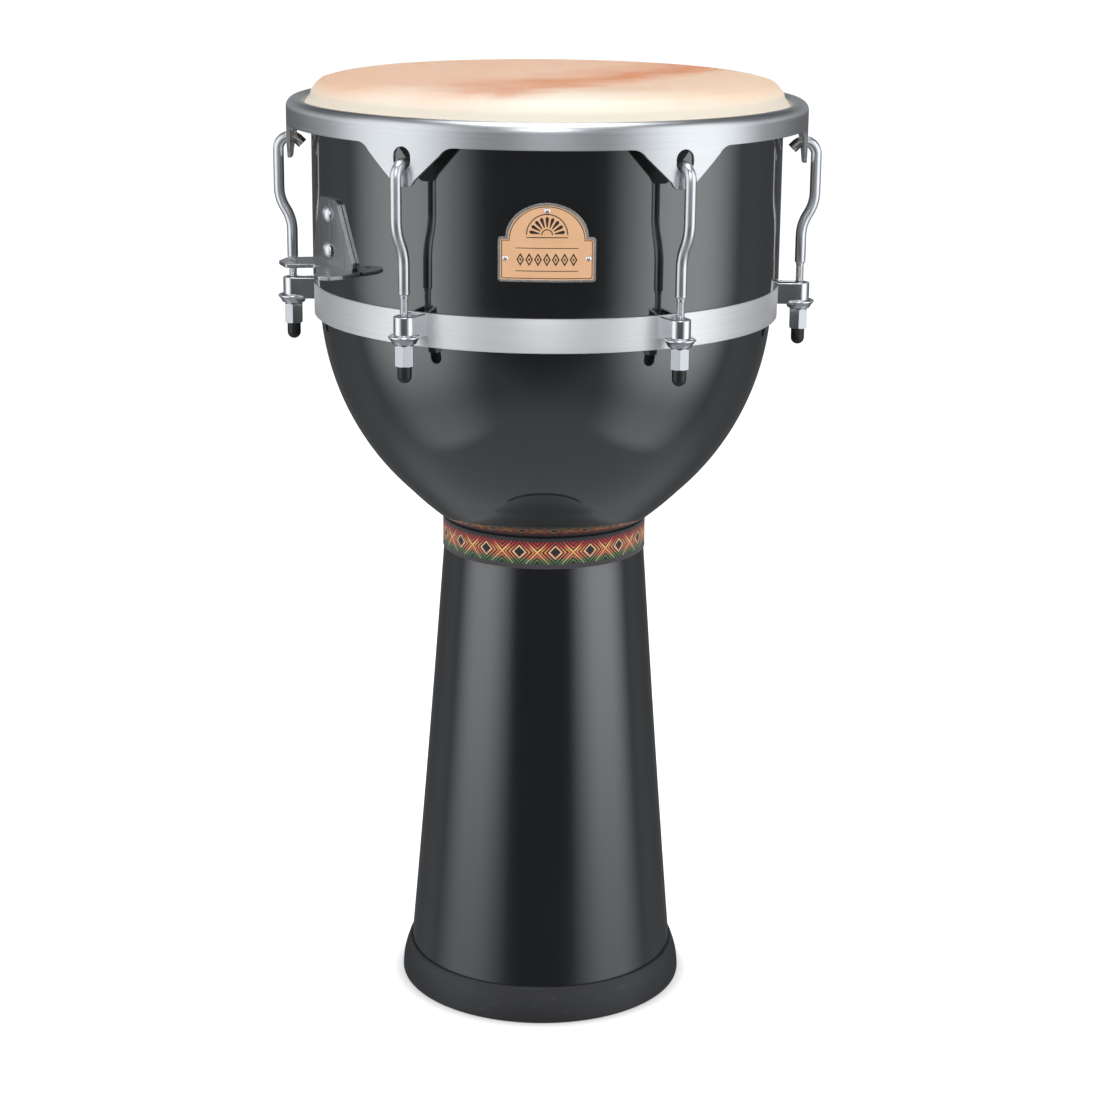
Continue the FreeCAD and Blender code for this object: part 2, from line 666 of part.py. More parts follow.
def along_bolt(shape, height):
    """Turns a shape made on +Z into a bolt's place, out from the drum's axis."""
    shape.rotate(ORIGIN, V(1, 0, 0), 90)
    shape.translate(V(0, 0, PLATE_Z + height))
    return at_angle(shape, STRAP_ANGLE)


def strap_bracket_bolts():
    """Carriage bolts with domed heads."""
    inside = SIDE_INNER_R - WASHER_GAP - WASHER_T - BOLT_NUT_L - BOLT_END
    seat = PLATE_R + PLATE_T
    bolts = []
    for height in BOLT_HEIGHTS:
        bolt = turned(outline(
            (0, inside),
            (BOLT_D / 2 - 0.5, inside),
            (BOLT_D / 2, inside + 0.5),
            (BOLT_D / 2, seat),
            (BOLT_HEAD_R, seat),
            (BOLT_HEAD_R, seat + 0.5),
            dome(BOLT_HEAD_R, seat + 0.5, BOLT_HEAD_H - 0.5),
        ))
        bolts.append(along_bolt(bolt, height))
    return Part.makeCompound(bolts)


def strap_bracket_washers():
    """Flat washers inside the shell."""
    outer = SIDE_INNER_R - WASHER_GAP
    rings = []
    for height in BOLT_HEIGHTS:
        rings.append(along_bolt(tube(BOLT_D / 2 + BOLT_FIT, WASHER_R, outer - WASHER_T, outer), height))
    return Part.makeCompound(rings)


def strap_bracket_nuts():
    """Hexagon nuts inside the shell."""
    outer = SIDE_INNER_R - WASHER_GAP - WASHER_T
    nuts = []
    for height in BOLT_HEIGHTS:
        nut = chamfered_hexagon(BOLT_NUT_AF, outer - BOLT_NUT_L, BOLT_NUT_L)
        nut = nut.cut(Part.makeCylinder(BOLT_D / 2, BOLT_NUT_L, V(0, 0, outer - BOLT_NUT_L)))
        nuts.append(along_bolt(nut, height))
    return Part.makeCompound(nuts)


# ---- badge ------------------------------------------------------------------

def badge_outline(inset):
    """A wide block with a half-oval arch on top, shrunk all round by an inset."""
    half = BADGE_W / 2 - inset
    arch = BADGE_ARCH_W / 2 - inset
    low = BADGE_Z + inset
    high = BADGE_Z + BADGE_H - inset
    corner = BADGE_CORNER - inset / 2
    eased = corner * (1 - math.sqrt(0.5))

    def on_arch(share):
        turn = math.pi * share
        return (arch * math.cos(turn), high + BADGE_ARCH_H * math.sin(turn))

    sweeps = [(on_arch((2 * i + 1) / 8), on_arch((2 * i + 2) / 8)) for i in range(4)]
    return outline(
        (-half + corner, low),
        (half - corner, low),
        ((half - eased, low + eased), (half, low + corner)),
        (half, high - corner),
        ((half - eased, high - eased), (half - corner, high)),
        on_arch(0),
        *sweeps,
        (-half + corner, high),
        ((-half + eased, high - eased), (-half, high - corner)),
        (-half, low + corner),
        ((-half + eased, low + eased), (-half + corner, low)),
    )


def badge_plate():
    """Thin metal badge that hugs the shell, with a raised rim."""
    top = BADGE_Z + BADGE_H + BADGE_ARCH_H
    face_r = BADGE_BACK_R + BADGE_T
    field = curved_plate(badge_outline(BADGE_RIM_W), BADGE_BACK_R, face_r, BADGE_Z, top)
    rim = curved_plate(badge_outline(0), BADGE_BACK_R, face_r + BADGE_RIM_T, BADGE_Z, top)
    middle = badge_outline(BADGE_RIM_W).extrude(V(0, -2 * face_r, 0))
    plate = rim.cut(middle).fuse(field)
    return solid(at_angle(plate, BADGE_ANGLE).cut(Part.makeCompound(pin_holes())))


def badge_pins():
    """Three round-headed pins that hold the badge."""
    seat = BADGE_BACK_R + BADGE_T
    pins = []
    for angle, z in pin_places():
        pin = turned(outline(
            (0, SIDE_INNER_R),
            (PIN_R, SIDE_INNER_R),
            (PIN_R, seat),
            (PIN_HEAD_R, seat),
            dome(PIN_HEAD_R, seat, PIN_HEAD_H),
        ))
        pin.rotate(ORIGIN, V(1, 0, 0), 90)
        pin.translate(V(0, 0, z))
        pins.append(at_angle(pin, angle))
    return Part.makeCompound(pins)


# ---- nodes --------------------------------------------------------------------

def nodes():
    """Every node of the drum, by name."""
    found = {
        "bowl_shell": bowl_shell(),
        "stem_shell": stem_shell(),
        "neck_sleeve": neck_sleeve(),
        "neck_ribbon": neck_ribbon(),
        "rubber_foot": rubber_foot(),
        "side_band": side_band(),
        "head_skin": head_skin(),
        "flesh_hoop": flesh_hoop(),
        "crown_hoop": crown_hoop(),
        "strap_bracket": strap_bracket(),
        "strap_bracket_bolts": strap_bracket_bolts(),
        "strap_bracket_washers": strap_bracket_washers(),
        "strap_bracket_nuts": strap_bracket_nuts(),
        "badge_plate": badge_plate(),
        "badge_pins": badge_pins(),
    }
    repeated = {
        "lug_bracket": lug_bracket(),
        "tension_hook": tension_hook(),
        "cup_washer": cup_washer(),
        "tension_nut": tension_nut(),
        "nut_cap": nut_cap(),
    }
    for number, angle in enumerate(EAR_ANGLES, 1):
        for name, shape in repeated.items():
            found[f"{name}_{number}"] = at_angle(shape, angle)
    return found


def main():
    """Writes one STEP file for each node."""
    os.makedirs("parts", exist_ok=True)
    for name, shape in nodes().items():
        shape.exportStep(f"parts/{name}.step")
        print(f"{name}: {len(shape.Solids)} solid(s), {shape.Volume / 1000:.2f} cm3, valid {shape.isValid()}")


main()
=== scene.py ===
# %% [markdown]
# # A djembe, from the frame up
#
# A djembe is a goblet-shaped hand drum. This one is the stage kind: a lacquered fibreglass shell, a
# goatskin head, and steel hardware that tunes it. The hard sizes already exist as a imported frame, so this
# lesson only dresses them. We load the frame and read the few sizes that every later step is measured from.

# %% Load the frame
import bpy
import json
import math
from mathutils import Matrix, Vector


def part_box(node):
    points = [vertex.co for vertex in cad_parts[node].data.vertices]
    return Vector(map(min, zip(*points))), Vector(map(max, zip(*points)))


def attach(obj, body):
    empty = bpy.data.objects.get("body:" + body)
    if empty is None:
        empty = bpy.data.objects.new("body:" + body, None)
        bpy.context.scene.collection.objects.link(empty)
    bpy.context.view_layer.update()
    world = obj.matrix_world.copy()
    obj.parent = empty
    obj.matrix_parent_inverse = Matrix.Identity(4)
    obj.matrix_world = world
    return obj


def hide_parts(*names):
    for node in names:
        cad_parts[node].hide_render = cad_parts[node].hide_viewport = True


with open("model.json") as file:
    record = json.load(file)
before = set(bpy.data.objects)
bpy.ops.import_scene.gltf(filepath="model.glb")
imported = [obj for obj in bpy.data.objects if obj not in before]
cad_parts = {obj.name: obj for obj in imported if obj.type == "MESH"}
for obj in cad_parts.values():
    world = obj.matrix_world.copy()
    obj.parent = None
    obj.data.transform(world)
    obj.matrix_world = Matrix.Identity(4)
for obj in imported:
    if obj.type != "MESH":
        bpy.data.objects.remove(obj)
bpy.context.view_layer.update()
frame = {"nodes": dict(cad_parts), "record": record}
record = frame["record"]
MM = 0.001


def low(node, axis):
    """A node's lowest place on an axis."""
    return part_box(node)[0][axis]


def high(node, axis):
    """A node's highest place on an axis."""
    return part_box(node)[1][axis]


# %% Sizes that the pieces share
side_r = high("bowl_shell", 0)
edge_z = high("bowl_shell", 2)
neck_joint_z = low("bowl_shell", 2)
band_r = high("side_band", 0)
band_z = low("side_band", 2)
band_top = high("side_band", 2)
ribbon_r = high("neck_ribbon", 0)
ribbon_t = 0.8 * MM
neck_r = ribbon_r - ribbon_t
stem_low = low("stem_shell", 2)
foot_r = high("rubber_foot", 0)
foot_top = high("rubber_foot", 2)
hoop_r = high("crown_hoop", 1)
hoop_top = high("crown_hoop", 2)
ear_low = low("crown_hoop", 2)
head_z = high("head_skin", 2)
wall = 6 * MM

lug_angles = []
for joint in record["behaviour"]["joints"]:
    if joint["type"] == "hinge":
        x, y = joint["pos_m"][:2]
        shank_r = math.hypot(x, y)
        lug_angles.append(math.atan2(x, -y))
print("lug angles:", [round(math.degrees(angle)) for angle in lug_angles])
print("shank circle:", round(shank_r, 4))

# %% [markdown]
# ## Camera
#
# The camera comes first, because it decides how fine each piece has to be. It stands about two metres in
# front of the drum, a little above the head, and looks down by fifteen degrees through a long lens. A
# long lens keeps the drum's sides nearly parallel, as in a catalogue picture. The camera is rolled by
# half a degree, which is the small lean that a hand-held or hastily levelled tripod gives.

# %% Camera
pitch = math.radians(15.45)
roll = math.radians(0.52)
around = Matrix.Rotation(math.radians(0.68), 4, "Z")
level_right = Vector((1, 0, 0))
level_up = Vector((0, math.sin(pitch), math.cos(pitch)))
ahead = Vector((0, math.cos(pitch), -math.sin(pitch)))
right = level_right * math.cos(roll) + level_up * math.sin(roll)
up = level_up * math.cos(roll) - level_right * math.sin(roll)
turn = Matrix((right, up, -ahead)).transposed().to_4x4()
place = Matrix.Translation((0.005, -1.921, 0.8875))

bpy.ops.object.camera_add()
camera = bpy.context.object
camera.name = "camera"
camera.matrix_world = around @ place @ turn
camera.data.sensor_width = 36
camera.data.lens = 82.2
camera.data.clip_end = 200
bpy.context.scene.camera = camera
print("camera at", [round(c, 3) for c in camera.location])

# %% [markdown]
# ## Hands and tools
#
# Nearly everything on a drum is round, so one tool does most of the work: draw half of the section as a
# line of points, then spin it about the drum's axis, as a turner holds a profile against the lathe. A
# straight stretch needs only its two ends. A round stretch is written as an arc through three points and
# divided evenly. The other tool rolls flat sheet round the shell, as a metalworker does: we model the
# sheet flat, where it is easy, and then turn its width into an angle.

# %% Selection helpers
def hands_off():
    """Leaves edit mode and deselects everything."""
    if bpy.context.object and bpy.context.object.mode != "OBJECT":
        bpy.ops.object.mode_set(mode="OBJECT")
    bpy.ops.object.select_all(action="DESELECT")


def hold(*pieces):
    """Selects only these pieces, the first one active."""
    hands_off()
    for piece in pieces:
        piece.select_set(True)
    bpy.context.view_layer.objects.active = pieces[0]


def settle(piece):
    """Bakes a piece's place into its mesh, so that its object sits at the origin."""
    hold(piece)
    bpy.ops.object.transform_apply(location=True, rotation=True, scale=True)
    return piece


def smooth(piece, degrees=35):
    """Smooth shading, with edges kept sharp above an angle."""
    hold(piece)
    bpy.ops.object.shade_smooth_by_angle(angle=math.radians(degrees))
    return piece


def modify(piece, kind, **settings):
    """Adds a modifier and applies it."""
    hold(piece)
    modifier = piece.modifiers.new(kind.lower(), kind)
    for key, value in settings.items():
        setattr(modifier, key, value)
    bpy.ops.object.modifier_apply(modifier=modifier.name)
    return piece


def tidy_mesh(piece, distance=0.000005):
    """Merges doubled corners and turns every face outwards."""
    hold(piece)
    bpy.ops.object.mode_set(mode="EDIT")
    bpy.ops.mesh.select_all(action="SELECT")
    bpy.ops.mesh.remove_doubles(threshold=distance)
    bpy.ops.mesh.normals_make_consistent(inside=False)
    bpy.ops.object.mode_set(mode="OBJECT")
    return piece


# %% Drawing helpers
def arc(start, middle, end, pieces=10):
    """Points of a round stretch from start to end by way of middle. Start itself is left out."""
    ax, ay = start
    bx, by = middle
    cx, cy = end
    area = 2 * (ax * (by - cy) + bx * (cy - ay) + cx * (ay - by))
    a2 = ax * ax + ay * ay
    b2 = bx * bx + by * by
    c2 = cx * cx + cy * cy
    ox = (a2 * (by - cy) + b2 * (cy - ay) + c2 * (ay - by)) / area
    oy = (a2 * (cx - bx) + b2 * (ax - cx) + c2 * (bx - ax)) / area
    radius = math.hypot(ax - ox, ay - oy)
    first = math.atan2(ay - oy, ax - ox)
    half = (math.atan2(by - oy, bx - ox) - first) % math.tau
    sweep = (math.atan2(cy - oy, cx - ox) - first) % math.tau
    if half > sweep:
        sweep -= math.tau
    points = []
    for i in range(1, pieces + 1):
        angle = first + sweep * i / pieces
        points.append((ox + radius * math.cos(angle), oy + radius * math.sin(angle)))
    return points


def straight(start, end, pieces):
    """Evenly divided straight stretch. Start itself is left out."""
    points = []
    for i in range(1, pieces + 1):
        points.append((start[0] + (end[0] - start[0]) * i / pieces,
                       start[1] + (end[1] - start[1]) * i / pieces))
    return points


def bend(line, middle, end, pieces=10):
    """Carries a line on with a round stretch."""
    line += arc(line[-1], middle, end, pieces)


def run(line, end, pieces):
    """Carries a line on with a straight stretch."""
    line += straight(line[-1], end, pieces)


def draw(name, outline, y=0.0):
    """A ring of corners in the XZ plane, moved one by one to the outline's points."""
    hands_off()
    bpy.ops.mesh.primitive_circle_add(vertices=len(outline), radius=0.1, location=(0, 0, 0))
    piece = bpy.context.object
    piece.name = name
    for corner, (x, z) in zip(piece.data.vertices, outline):
        corner.co = (x, y, z)
    return piece


def lathe(name, outline, steps=192):
    """Spins a closed outline round the drum's axis."""
    piece = draw(name, outline)
    bpy.ops.object.mode_set(mode="EDIT")
    bpy.ops.mesh.select_all(action="SELECT")
    bpy.ops.mesh.spin(steps=steps, angle=math.tau, center=(0, 0, 0), axis=(0, 0, 1), use_auto_merge=True)
    bpy.ops.object.mode_set(mode="OBJECT")
    tidy_mesh(piece)
    return smooth(piece)


def moved_to_shank(piece):
    """From the drum's axis to the shank's axis at the front."""
    piece.location = (0, -shank_r, 0)
    return settle(piece)


def slab(name, outline, near, far):
    """A flat plate cut to an outline, from one distance in front of the axis to another."""
    piece = draw(name, outline, -near)
    bpy.ops.object.mode_set(mode="EDIT")
    bpy.ops.mesh.select_all(action="SELECT")
    bpy.ops.mesh.edge_face_add()
    bpy.ops.mesh.extrude_region_move(TRANSFORM_OT_translate={"value": (0, near - far, 0)})
    bpy.ops.mesh.select_all(action="SELECT")
    bpy.ops.mesh.normals_make_consistent(inside=False)
    bpy.ops.object.mode_set(mode="OBJECT")
    return piece


def cut_away(piece, cutter, operation="DIFFERENCE"):
    """A boolean cut. The cutter is thrown away."""
    modify(piece, "BOOLEAN", object=cutter, operation=operation, solver="EXACT")
    bpy.data.objects.remove(cutter)
    return piece


def slice_across(piece, half_width, step):
    """Divides a flat piece by upright cuts, so that it can be rolled."""
    hold(piece)
    bpy.ops.object.mode_set(mode="EDIT")
    count = int(half_width / step)
    for i in range(-count, count + 1):
        bpy.ops.mesh.select_all(action="SELECT")
        bpy.ops.mesh.bisect(plane_co=(i * step, 0, 0), plane_no=(1, 0, 0))
    bpy.ops.object.mode_set(mode="OBJECT")
    return piece


def roll_round(piece, radius):
    """Rolls a flat piece round the drum: width becomes angle, and depth stays depth."""
    for corner in piece.data.vertices:
        angle = corner.co.x / radius
        depth = -corner.co.y
        corner.co = (depth * math.sin(angle), -depth * math.cos(angle), corner.co.z)
    return piece


def turned_to(piece, angle, name):
    """A copy with its own mesh, carried round the drum."""
    copy = piece.copy()
    copy.data = piece.data.copy()
    copy.name = name
    bpy.context.collection.objects.link(copy)
    copy.rotation_euler = (0, 0, angle)
    return settle(copy)


def set_round(pattern, name, places):
    """Copies of a piece at several angles and heights, joined in one mesh. The pattern is thrown away."""
    copies = []
    for angle, z in places:
        copy = turned_to(pattern, 0, name)
        copy.location = (0, 0, z)
        settle(copy)
        copy.rotation_euler = (0, 0, angle)
        copies.append(settle(copy))
    bpy.data.objects.remove(pattern)
    hold(*copies)
    bpy.ops.object.join()
    copies[0].name = name
    return copies[0]


def shorthand(piece, body, slot, *nodes):
    """What every finished piece is told: its body and the nodes it stands for. Its slot is not used."""
    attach(piece, body)
    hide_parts(*nodes)
    return piece


print("tools ready")

# %% [markdown]
# ## Finishes
#
# A finish is more than a colour. Lacquer is a dark body under a clear coat that ripples very slightly.
# Chrome is a mirror with faint wipe marks. Brushed steel has fine grooves that run one way, and rubber is
# dull with a tiny grain. Each finish below is made of noise and waves in object coordinates, so it has no
# seams and needs no pictures. A small helper wires nodes by name, which keeps each recipe readable.

# %% Node helpers
class Recipe:
    """A material's node tree, with short calls for what the finishes need."""

    def __init__(self, name):
        self.material = bpy.data.materials.new(name)
        self.material.use_nodes = True
        self.nodes = self.material.node_tree.nodes
        self.links = self.material.node_tree.links
        self.shader = self.nodes["Principled BSDF"]
        self.place = self.nodes.new("ShaderNodeTexCoord")

    def join(self, output, socket):
        """Wires an output to a socket, or sets the socket to a plain value."""
        if isinstance(output, bpy.types.NodeSocket):
            self.links.new(output, socket)
        else:
            socket.default_value = output

    def math(self, operation, a, b=0.0, c=0.0):
        """A sum of numbers."""
        node = self.nodes.new("ShaderNodeMath")
        node.operation = operation
        for value, socket in zip((a, b, c), node.inputs):
            self.join(value, socket)
        return node.outputs[0]

    def noise(self, scale, detail=4.0, stretch=(1, 1, 1), rough=0.5, coords="Object"):
        """Clouds, stretched along an axis if wished."""
        mapping = self.nodes.new("ShaderNodeMapping")
        mapping.inputs["Scale"].default_value = stretch
        self.links.new(self.place.outputs[coords], mapping.inputs["Vector"])
        node = self.nodes.new("ShaderNodeTexNoise")
        node.inputs["Scale"].default_value = scale
        node.inputs["Detail"].default_value = detail
        node.inputs["Roughness"].default_value = rough
        self.links.new(mapping.outputs["Vector"], node.inputs["Vector"])
        return node.outputs["Fac"]

    def spread(self, value, start, end, low_value, high_value):
        """Maps one range of numbers to another, and clamps it."""
        node = self.nodes.new("ShaderNodeMapRange")
        for key, number in (("Value", value), ("From Min", start), ("From Max", end),
                            ("To Min", low_value), ("To Max", high_value)):
            self.join(number, node.inputs[key])
        return node.outputs["Result"]

    def ease(self, value, start, end, low_value, high_value):
        """Like spread, with a soft start and a soft end."""
        result = self.spread(value, start, end, low_value, high_value)
        result.node.interpolation_type = "SMOOTHSTEP"
        return result

    def shades(self, value, *stops):
        """A scale of colours, given as places between 0 and 1 and their colours."""
        node = self.nodes.new("ShaderNodeValToRGB")
        scale = node.color_ramp.elements
        while len(scale) < len(stops):
            scale.new(0.5)
        for element, (place, colour) in zip(scale, stops):
            element.position = place
            element.color = (*colour, 1.0)
        self.links.new(value, node.inputs["Fac"])
        return node.outputs["Color"]

    def mix(self, factor, first, second):
        """Mixes two colours."""
        node = self.nodes.new("ShaderNodeMix")
        node.data_type = "RGBA"
        self.join(factor, node.inputs[0])
        for value, socket in ((first, node.inputs[6]), (second, node.inputs[7])):
            self.join(value if isinstance(value, bpy.types.NodeSocket) else (*value, 1.0), socket)
        return node.outputs[2]

    def bump(self, height, strength, distance=0.001, under=None):
        """Turns a height into a tilt of the surface."""
        node = self.nodes.new("ShaderNodeBump")
        node.inputs["Strength"].default_value = strength
        node.inputs["Distance"].default_value = distance
        self.join(height, node.inputs["Height"])
        if under is not None:
            self.links.new(under, node.inputs["Normal"])
        return node.outputs["Normal"]

    def round_grain(self, amount):
        """Grooves that run round the drum: the gloss is drawn out upwards and downwards."""
        tangent = self.nodes.new("ShaderNodeTangent")
        tangent.direction_type = "RADIAL"
        tangent.axis = "Z"
        self.links.new(tangent.outputs["Tangent"], self.shader.inputs["Tangent"])
        self.shader.inputs["Anisotropic"].default_value = amount
        self.shader.inputs["Anisotropic Rotation"].default_value = 0.25

    def finish(self, **sockets):
        """Sets the shader's sockets. An underscore in a name stands for a space."""
        for key, value in sockets.items():
            socket = self.shader.inputs[key.replace("_", " ")]
            if socket.type == "RGBA" and isinstance(value, tuple):
                value = (*value, 1.0)
            self.join(value, socket)
        return self.material


def paint(piece, *materials):
    """Gives a piece its materials, and nothing else."""
    piece.data.materials.clear()
    for material in materials:
        piece.data.materials.append(material)
    return piece


# %% Lacquer and bare fibreglass
def lacquer():
    """Black gloss lacquer: a dark body, a hard gloss, and a clear coat over it."""
    r = Recipe("black_lacquer")
    ripple = r.noise(38, 2)
    haze = r.noise(9, 5)
    dust = r.noise(900, 1)
    tilt = r.bump(ripple, 0.012, 0.002)
    colour = r.mix(r.spread(haze, 0.3, 0.7, 0, 1), (0.0030, 0.0034, 0.0038), (0.0045, 0.0050, 0.0056))
    rough = r.math("ADD", r.spread(haze, 0.3, 0.75, 0.06, 0.09), r.spread(dust, 0.62, 0.75, 0.0, 0.05))
    return r.finish(Base_Color=colour, Roughness=rough, Normal=tilt, IOR=1.75, Coat_Weight=1.0,
                    Coat_Roughness=0.04, Coat_IOR=1.75)


def bare_fibreglass():
    """The moulding's dull inside, with the strands showing through resin."""
    r = Recipe("bare_fibreglass")
    strands = r.noise(120, 3, (1, 1, 0.15))
    cross = r.noise(120, 3, (0.2, 0.2, 1))
    weave = r.math("MAXIMUM", strands, cross)
    colour = r.mix(r.spread(weave, 0.45, 0.7, 0, 1), (0.016, 0.016, 0.015), (0.045, 0.043, 0.038))
    return r.finish(Base_Color=colour, Roughness=r.spread(weave, 0.4, 0.7, 0.42, 0.62),
                    Normal=r.bump(weave, 0.5, 0.0008))


black_lacquer = lacquer()
fibreglass = bare_fibreglass()

# %% Metals
def chrome(name, tint, base_rough):
    """Plated steel: a mirror with faint wipe marks."""
    r = Recipe(name)
    wipe = r.noise(60, 4, (1, 1, 0.25))
    specks = r.noise(1400, 1)
    rough = r.math("ADD", r.spread(wipe, 0.35, 0.75, base_rough, base_rough + 0.07),
                   r.spread(specks, 0.64, 0.75, 0.0, 0.08))
    return r.finish(Base_Color=tint, Metallic=1.0, Roughness=rough, Normal=r.bump(wipe, 0.03, 0.0004))


def satin_steel(name, tint, grooves=(6, 6, 900), rough_range=(0.22, 0.36), strength=0.10, drawn=0.0,
                metal=1.0):
    """Brushed steel. The grooves run round the drum, so they are fine only upwards."""
    r = Recipe(name)
    if drawn:
        r.round_grain(drawn)
    lines = r.noise(1.0, 3, grooves, 0.6)
    cloud = r.noise(14, 4)
    colour = r.mix(r.spread(lines, 0.3, 0.7, 0, 1), tuple(0.9 * part for part in tint), tint)
    rough = r.math("ADD", r.spread(lines, 0.3, 0.7, *rough_range), r.spread(cloud, 0.4, 0.7, 0.0, 0.06))
    return r.finish(Base_Color=colour, Metallic=metal, Roughness=rough,
                    Normal=r.bump(lines, strength, 0.0003))


def copper_plate():
    """Copper-coloured badge metal with a fine upright grain."""
    r = Recipe("badge_copper")
    grain = r.noise(1.0, 3, (1600, 1600, 30), 0.6)
    tarnish = r.noise(45, 5)
    colour = r.mix(r.spread(tarnish, 0.35, 0.7, 0, 1), (0.98, 0.58, 0.33), (0.93, 0.53, 0.29))
    return r.finish(Base_Color=colour, Metallic=0.4, Roughness=r.spread(grain, 0.3, 0.7, 0.34, 0.42),
                    Normal=r.bump(grain, 0.02, 0.0002))


nut_steel = chrome("nut_steel", (0.52, 0.53, 0.55), 0.20)
rod_chrome = chrome("rod_chrome", (0.76, 0.77, 0.79), 0.27)
lug_chrome = chrome("lug_chrome", (0.78, 0.79, 0.81), 0.16)
hoop_steel = satin_steel("hoop_steel", (0.70, 0.71, 0.72), (5, 5, 700), (0.28, 0.35), 0.04, 0.70)
band_steel = satin_steel("band_steel", (0.92, 0.92, 0.92), (6, 6, 1500), (0.44, 0.54), 0.06, 0.8, 0.82)
bracket_steel = satin_steel("bracket_steel", (0.50, 0.51, 0.52), (700, 700, 12), (0.24, 0.36), 0.05)
zinc_steel = satin_steel("zinc_steel", (0.55, 0.56, 0.56), (60, 60, 60), (0.3, 0.45), 0.05)
copper = copper_plate()
badge_edge = chrome("badge_edge", (0.95, 0.90, 0.85), 0.24)
engraving = Recipe("engraved_line").finish(Base_Color=(0.045, 0.025, 0.018), Roughness=0.5, Metallic=0.4)

# %% Rubber
def rubber(name, tint, rough):
    """Dull moulded rubber with a tiny grain and a few pale scuffs."""
    r = Recipe(name)
    grain = r.noise(1500, 2)
    cloud = r.noise(25, 5)
    scuff = r.spread(r.noise(70, 6, (1, 1, 3)), 0.60, 0.74, 0, 0.35)
    colour = r.mix(scuff, tint, tuple(part + 0.05 for part in tint))
    return r.finish(Base_Color=colour, Roughness=r.spread(cloud, 0.35, 0.7, rough, rough + 0.14),
                    Normal=r.bump(grain, 0.16, 0.0003))


foot_rubber = rubber("foot_rubber", (0.020, 0.020, 0.021), 0.40)
cap_rubber = rubber("cap_rubber", (0.007, 0.007, 0.008), 0.30)
print("finishes:", len(bpy.data.materials))

# %% [markdown]
# ## The shell
#
# A fibreglass shell is laid up in a mould in two halves, a bowl and a stem, and glued at the neck over an
# inner sleeve. We turn each half from its section. The bowl is one upright neck, a tight hollow where it
# leaves the neck, one long arc out to the band, a step that the steel band pulls against, and then the
# straight side. Its inside was never polished, so those faces get the bare fibreglass.

# %% Bowl
bowl_top_r = band_r - 4.7 * MM
flare = bowl_top_r - neck_r
hollow_z = neck_joint_z + 13 * MM
rise = band_z - hollow_z
side_inner_r = side_r - wall


def bowl_point(out, height):
    """A point of the bowl's outer line, as shares of its flare and its rise."""
    return (neck_r + out * flare, hollow_z + height * rise)


bowl_outline = [(neck_r, neck_joint_z), (neck_r, hollow_z - 1.5 * MM)]
bend(bowl_outline, (neck_r + 0.35 * MM, hollow_z - 0.2 * MM), (neck_r + 1.4 * MM, hollow_z + 1.0 * MM), 6)
bend(bowl_outline, bowl_point(0.155, 0.0735), bowl_point(0.307, 0.158), 16)
bend(bowl_outline, bowl_point(0.772, 0.5165), bowl_point(1, 1), 48)
bowl_outline += [(band_r - 2.8 * MM, band_z), (band_r - 2.8 * MM, band_top)]
bowl_outline += [(side_r - 0.8 * MM, band_top)]
bend(bowl_outline, (side_r - 0.23 * MM, band_top + 0.23 * MM), (side_r, band_top + 0.8 * MM), 4)
bearing = 24 * MM
run(bowl_outline, (side_r, edge_z - 0.8 * bearing), 12)
bend(bowl_outline, (side_r - 2.2 * MM, edge_z - 0.42 * bearing),
     (side_r - 7.9 * MM, edge_z - 0.167 * bearing), 8)
bend(bowl_outline, (side_r - 17.4 * MM, edge_z - 0.058 * bearing), (150 * MM, edge_z), 8)
bend(bowl_outline, (148 * MM, edge_z - wall / 2), (150 * MM, edge_z - wall), 6)
bend(bowl_outline, (side_inner_r - 12.5 * MM, edge_z - wall - 3.2 * MM),
     (side_inner_r, edge_z - 0.8 * bearing - 2 * MM), 10)
bowl_outline += [(side_inner_r, band_top), (bowl_top_r - wall, band_z)]
inner_middle = bowl_point(0.772, 0.5165)
inner_knee = bowl_point(0.307, 0.158)
inner_low = bowl_point(0.155, 0.0735)
bowl_outline += arc(bowl_outline[-1], (inner_middle[0] - 0.87 * wall, inner_middle[1] + 0.5 * wall),
                    (inner_knee[0] - 0.68 * wall, inner_knee[1] + 0.73 * wall), 24)
bend(bowl_outline, (inner_low[0] - 0.66 * wall, inner_low[1] + 0.72 * wall),
     (neck_r - wall, hollow_z + 2 * MM), 8)
bowl_outline += [(neck_r - wall, neck_joint_z)]
bowl = lathe("bowl", bowl_outline, 256)


def lacquer_outside(piece):
    """Gloss outside and bare fibreglass on every face that looks towards the drum's axis."""
    paint(piece, black_lacquer, fibreglass)
    inside = 0
    for face in piece.data.polygons:
        if face.normal.x * face.center.x + face.normal.y * face.center.y < 0:
            face.material_index = 1
            inside += 1
    return inside


print("bowl faces inside:", lacquer_outside(bowl), "of", len(bowl.data.polygons))
shorthand(bowl, "shell", "shell_gloss", "bowl_shell")

# %% Stem
collar_z = neck_joint_z - 13.05 * MM
foot_stem_r = foot_r - 7.5 * MM
middle_z = foot_top + 0.603 * (collar_z - foot_top)
middle_r = neck_r + 0.375 * (foot_stem_r - neck_r)
rim_r = foot_stem_r + 1.8 * MM
stem_outline = [(rim_r - 1 * MM, stem_low)]
bend(stem_outline, (rim_r - 0.3 * MM, stem_low + 0.3 * MM), (rim_r - 0.07 * MM, stem_low + 1 * MM), 3)
run(stem_outline, (foot_stem_r, foot_top), 4)
bend(stem_outline, (middle_r, middle_z), (neck_r, collar_z), 40)
stem_outline += [(neck_r, neck_joint_z), (neck_r - wall, neck_joint_z), (neck_r - wall, collar_z)]
bend(stem_outline, (middle_r - wall, middle_z), (foot_stem_r - wall, foot_top), 24)
stem_outline += [(rim_r - wall, stem_low)]
stem = lathe("stem", stem_outline, 256)
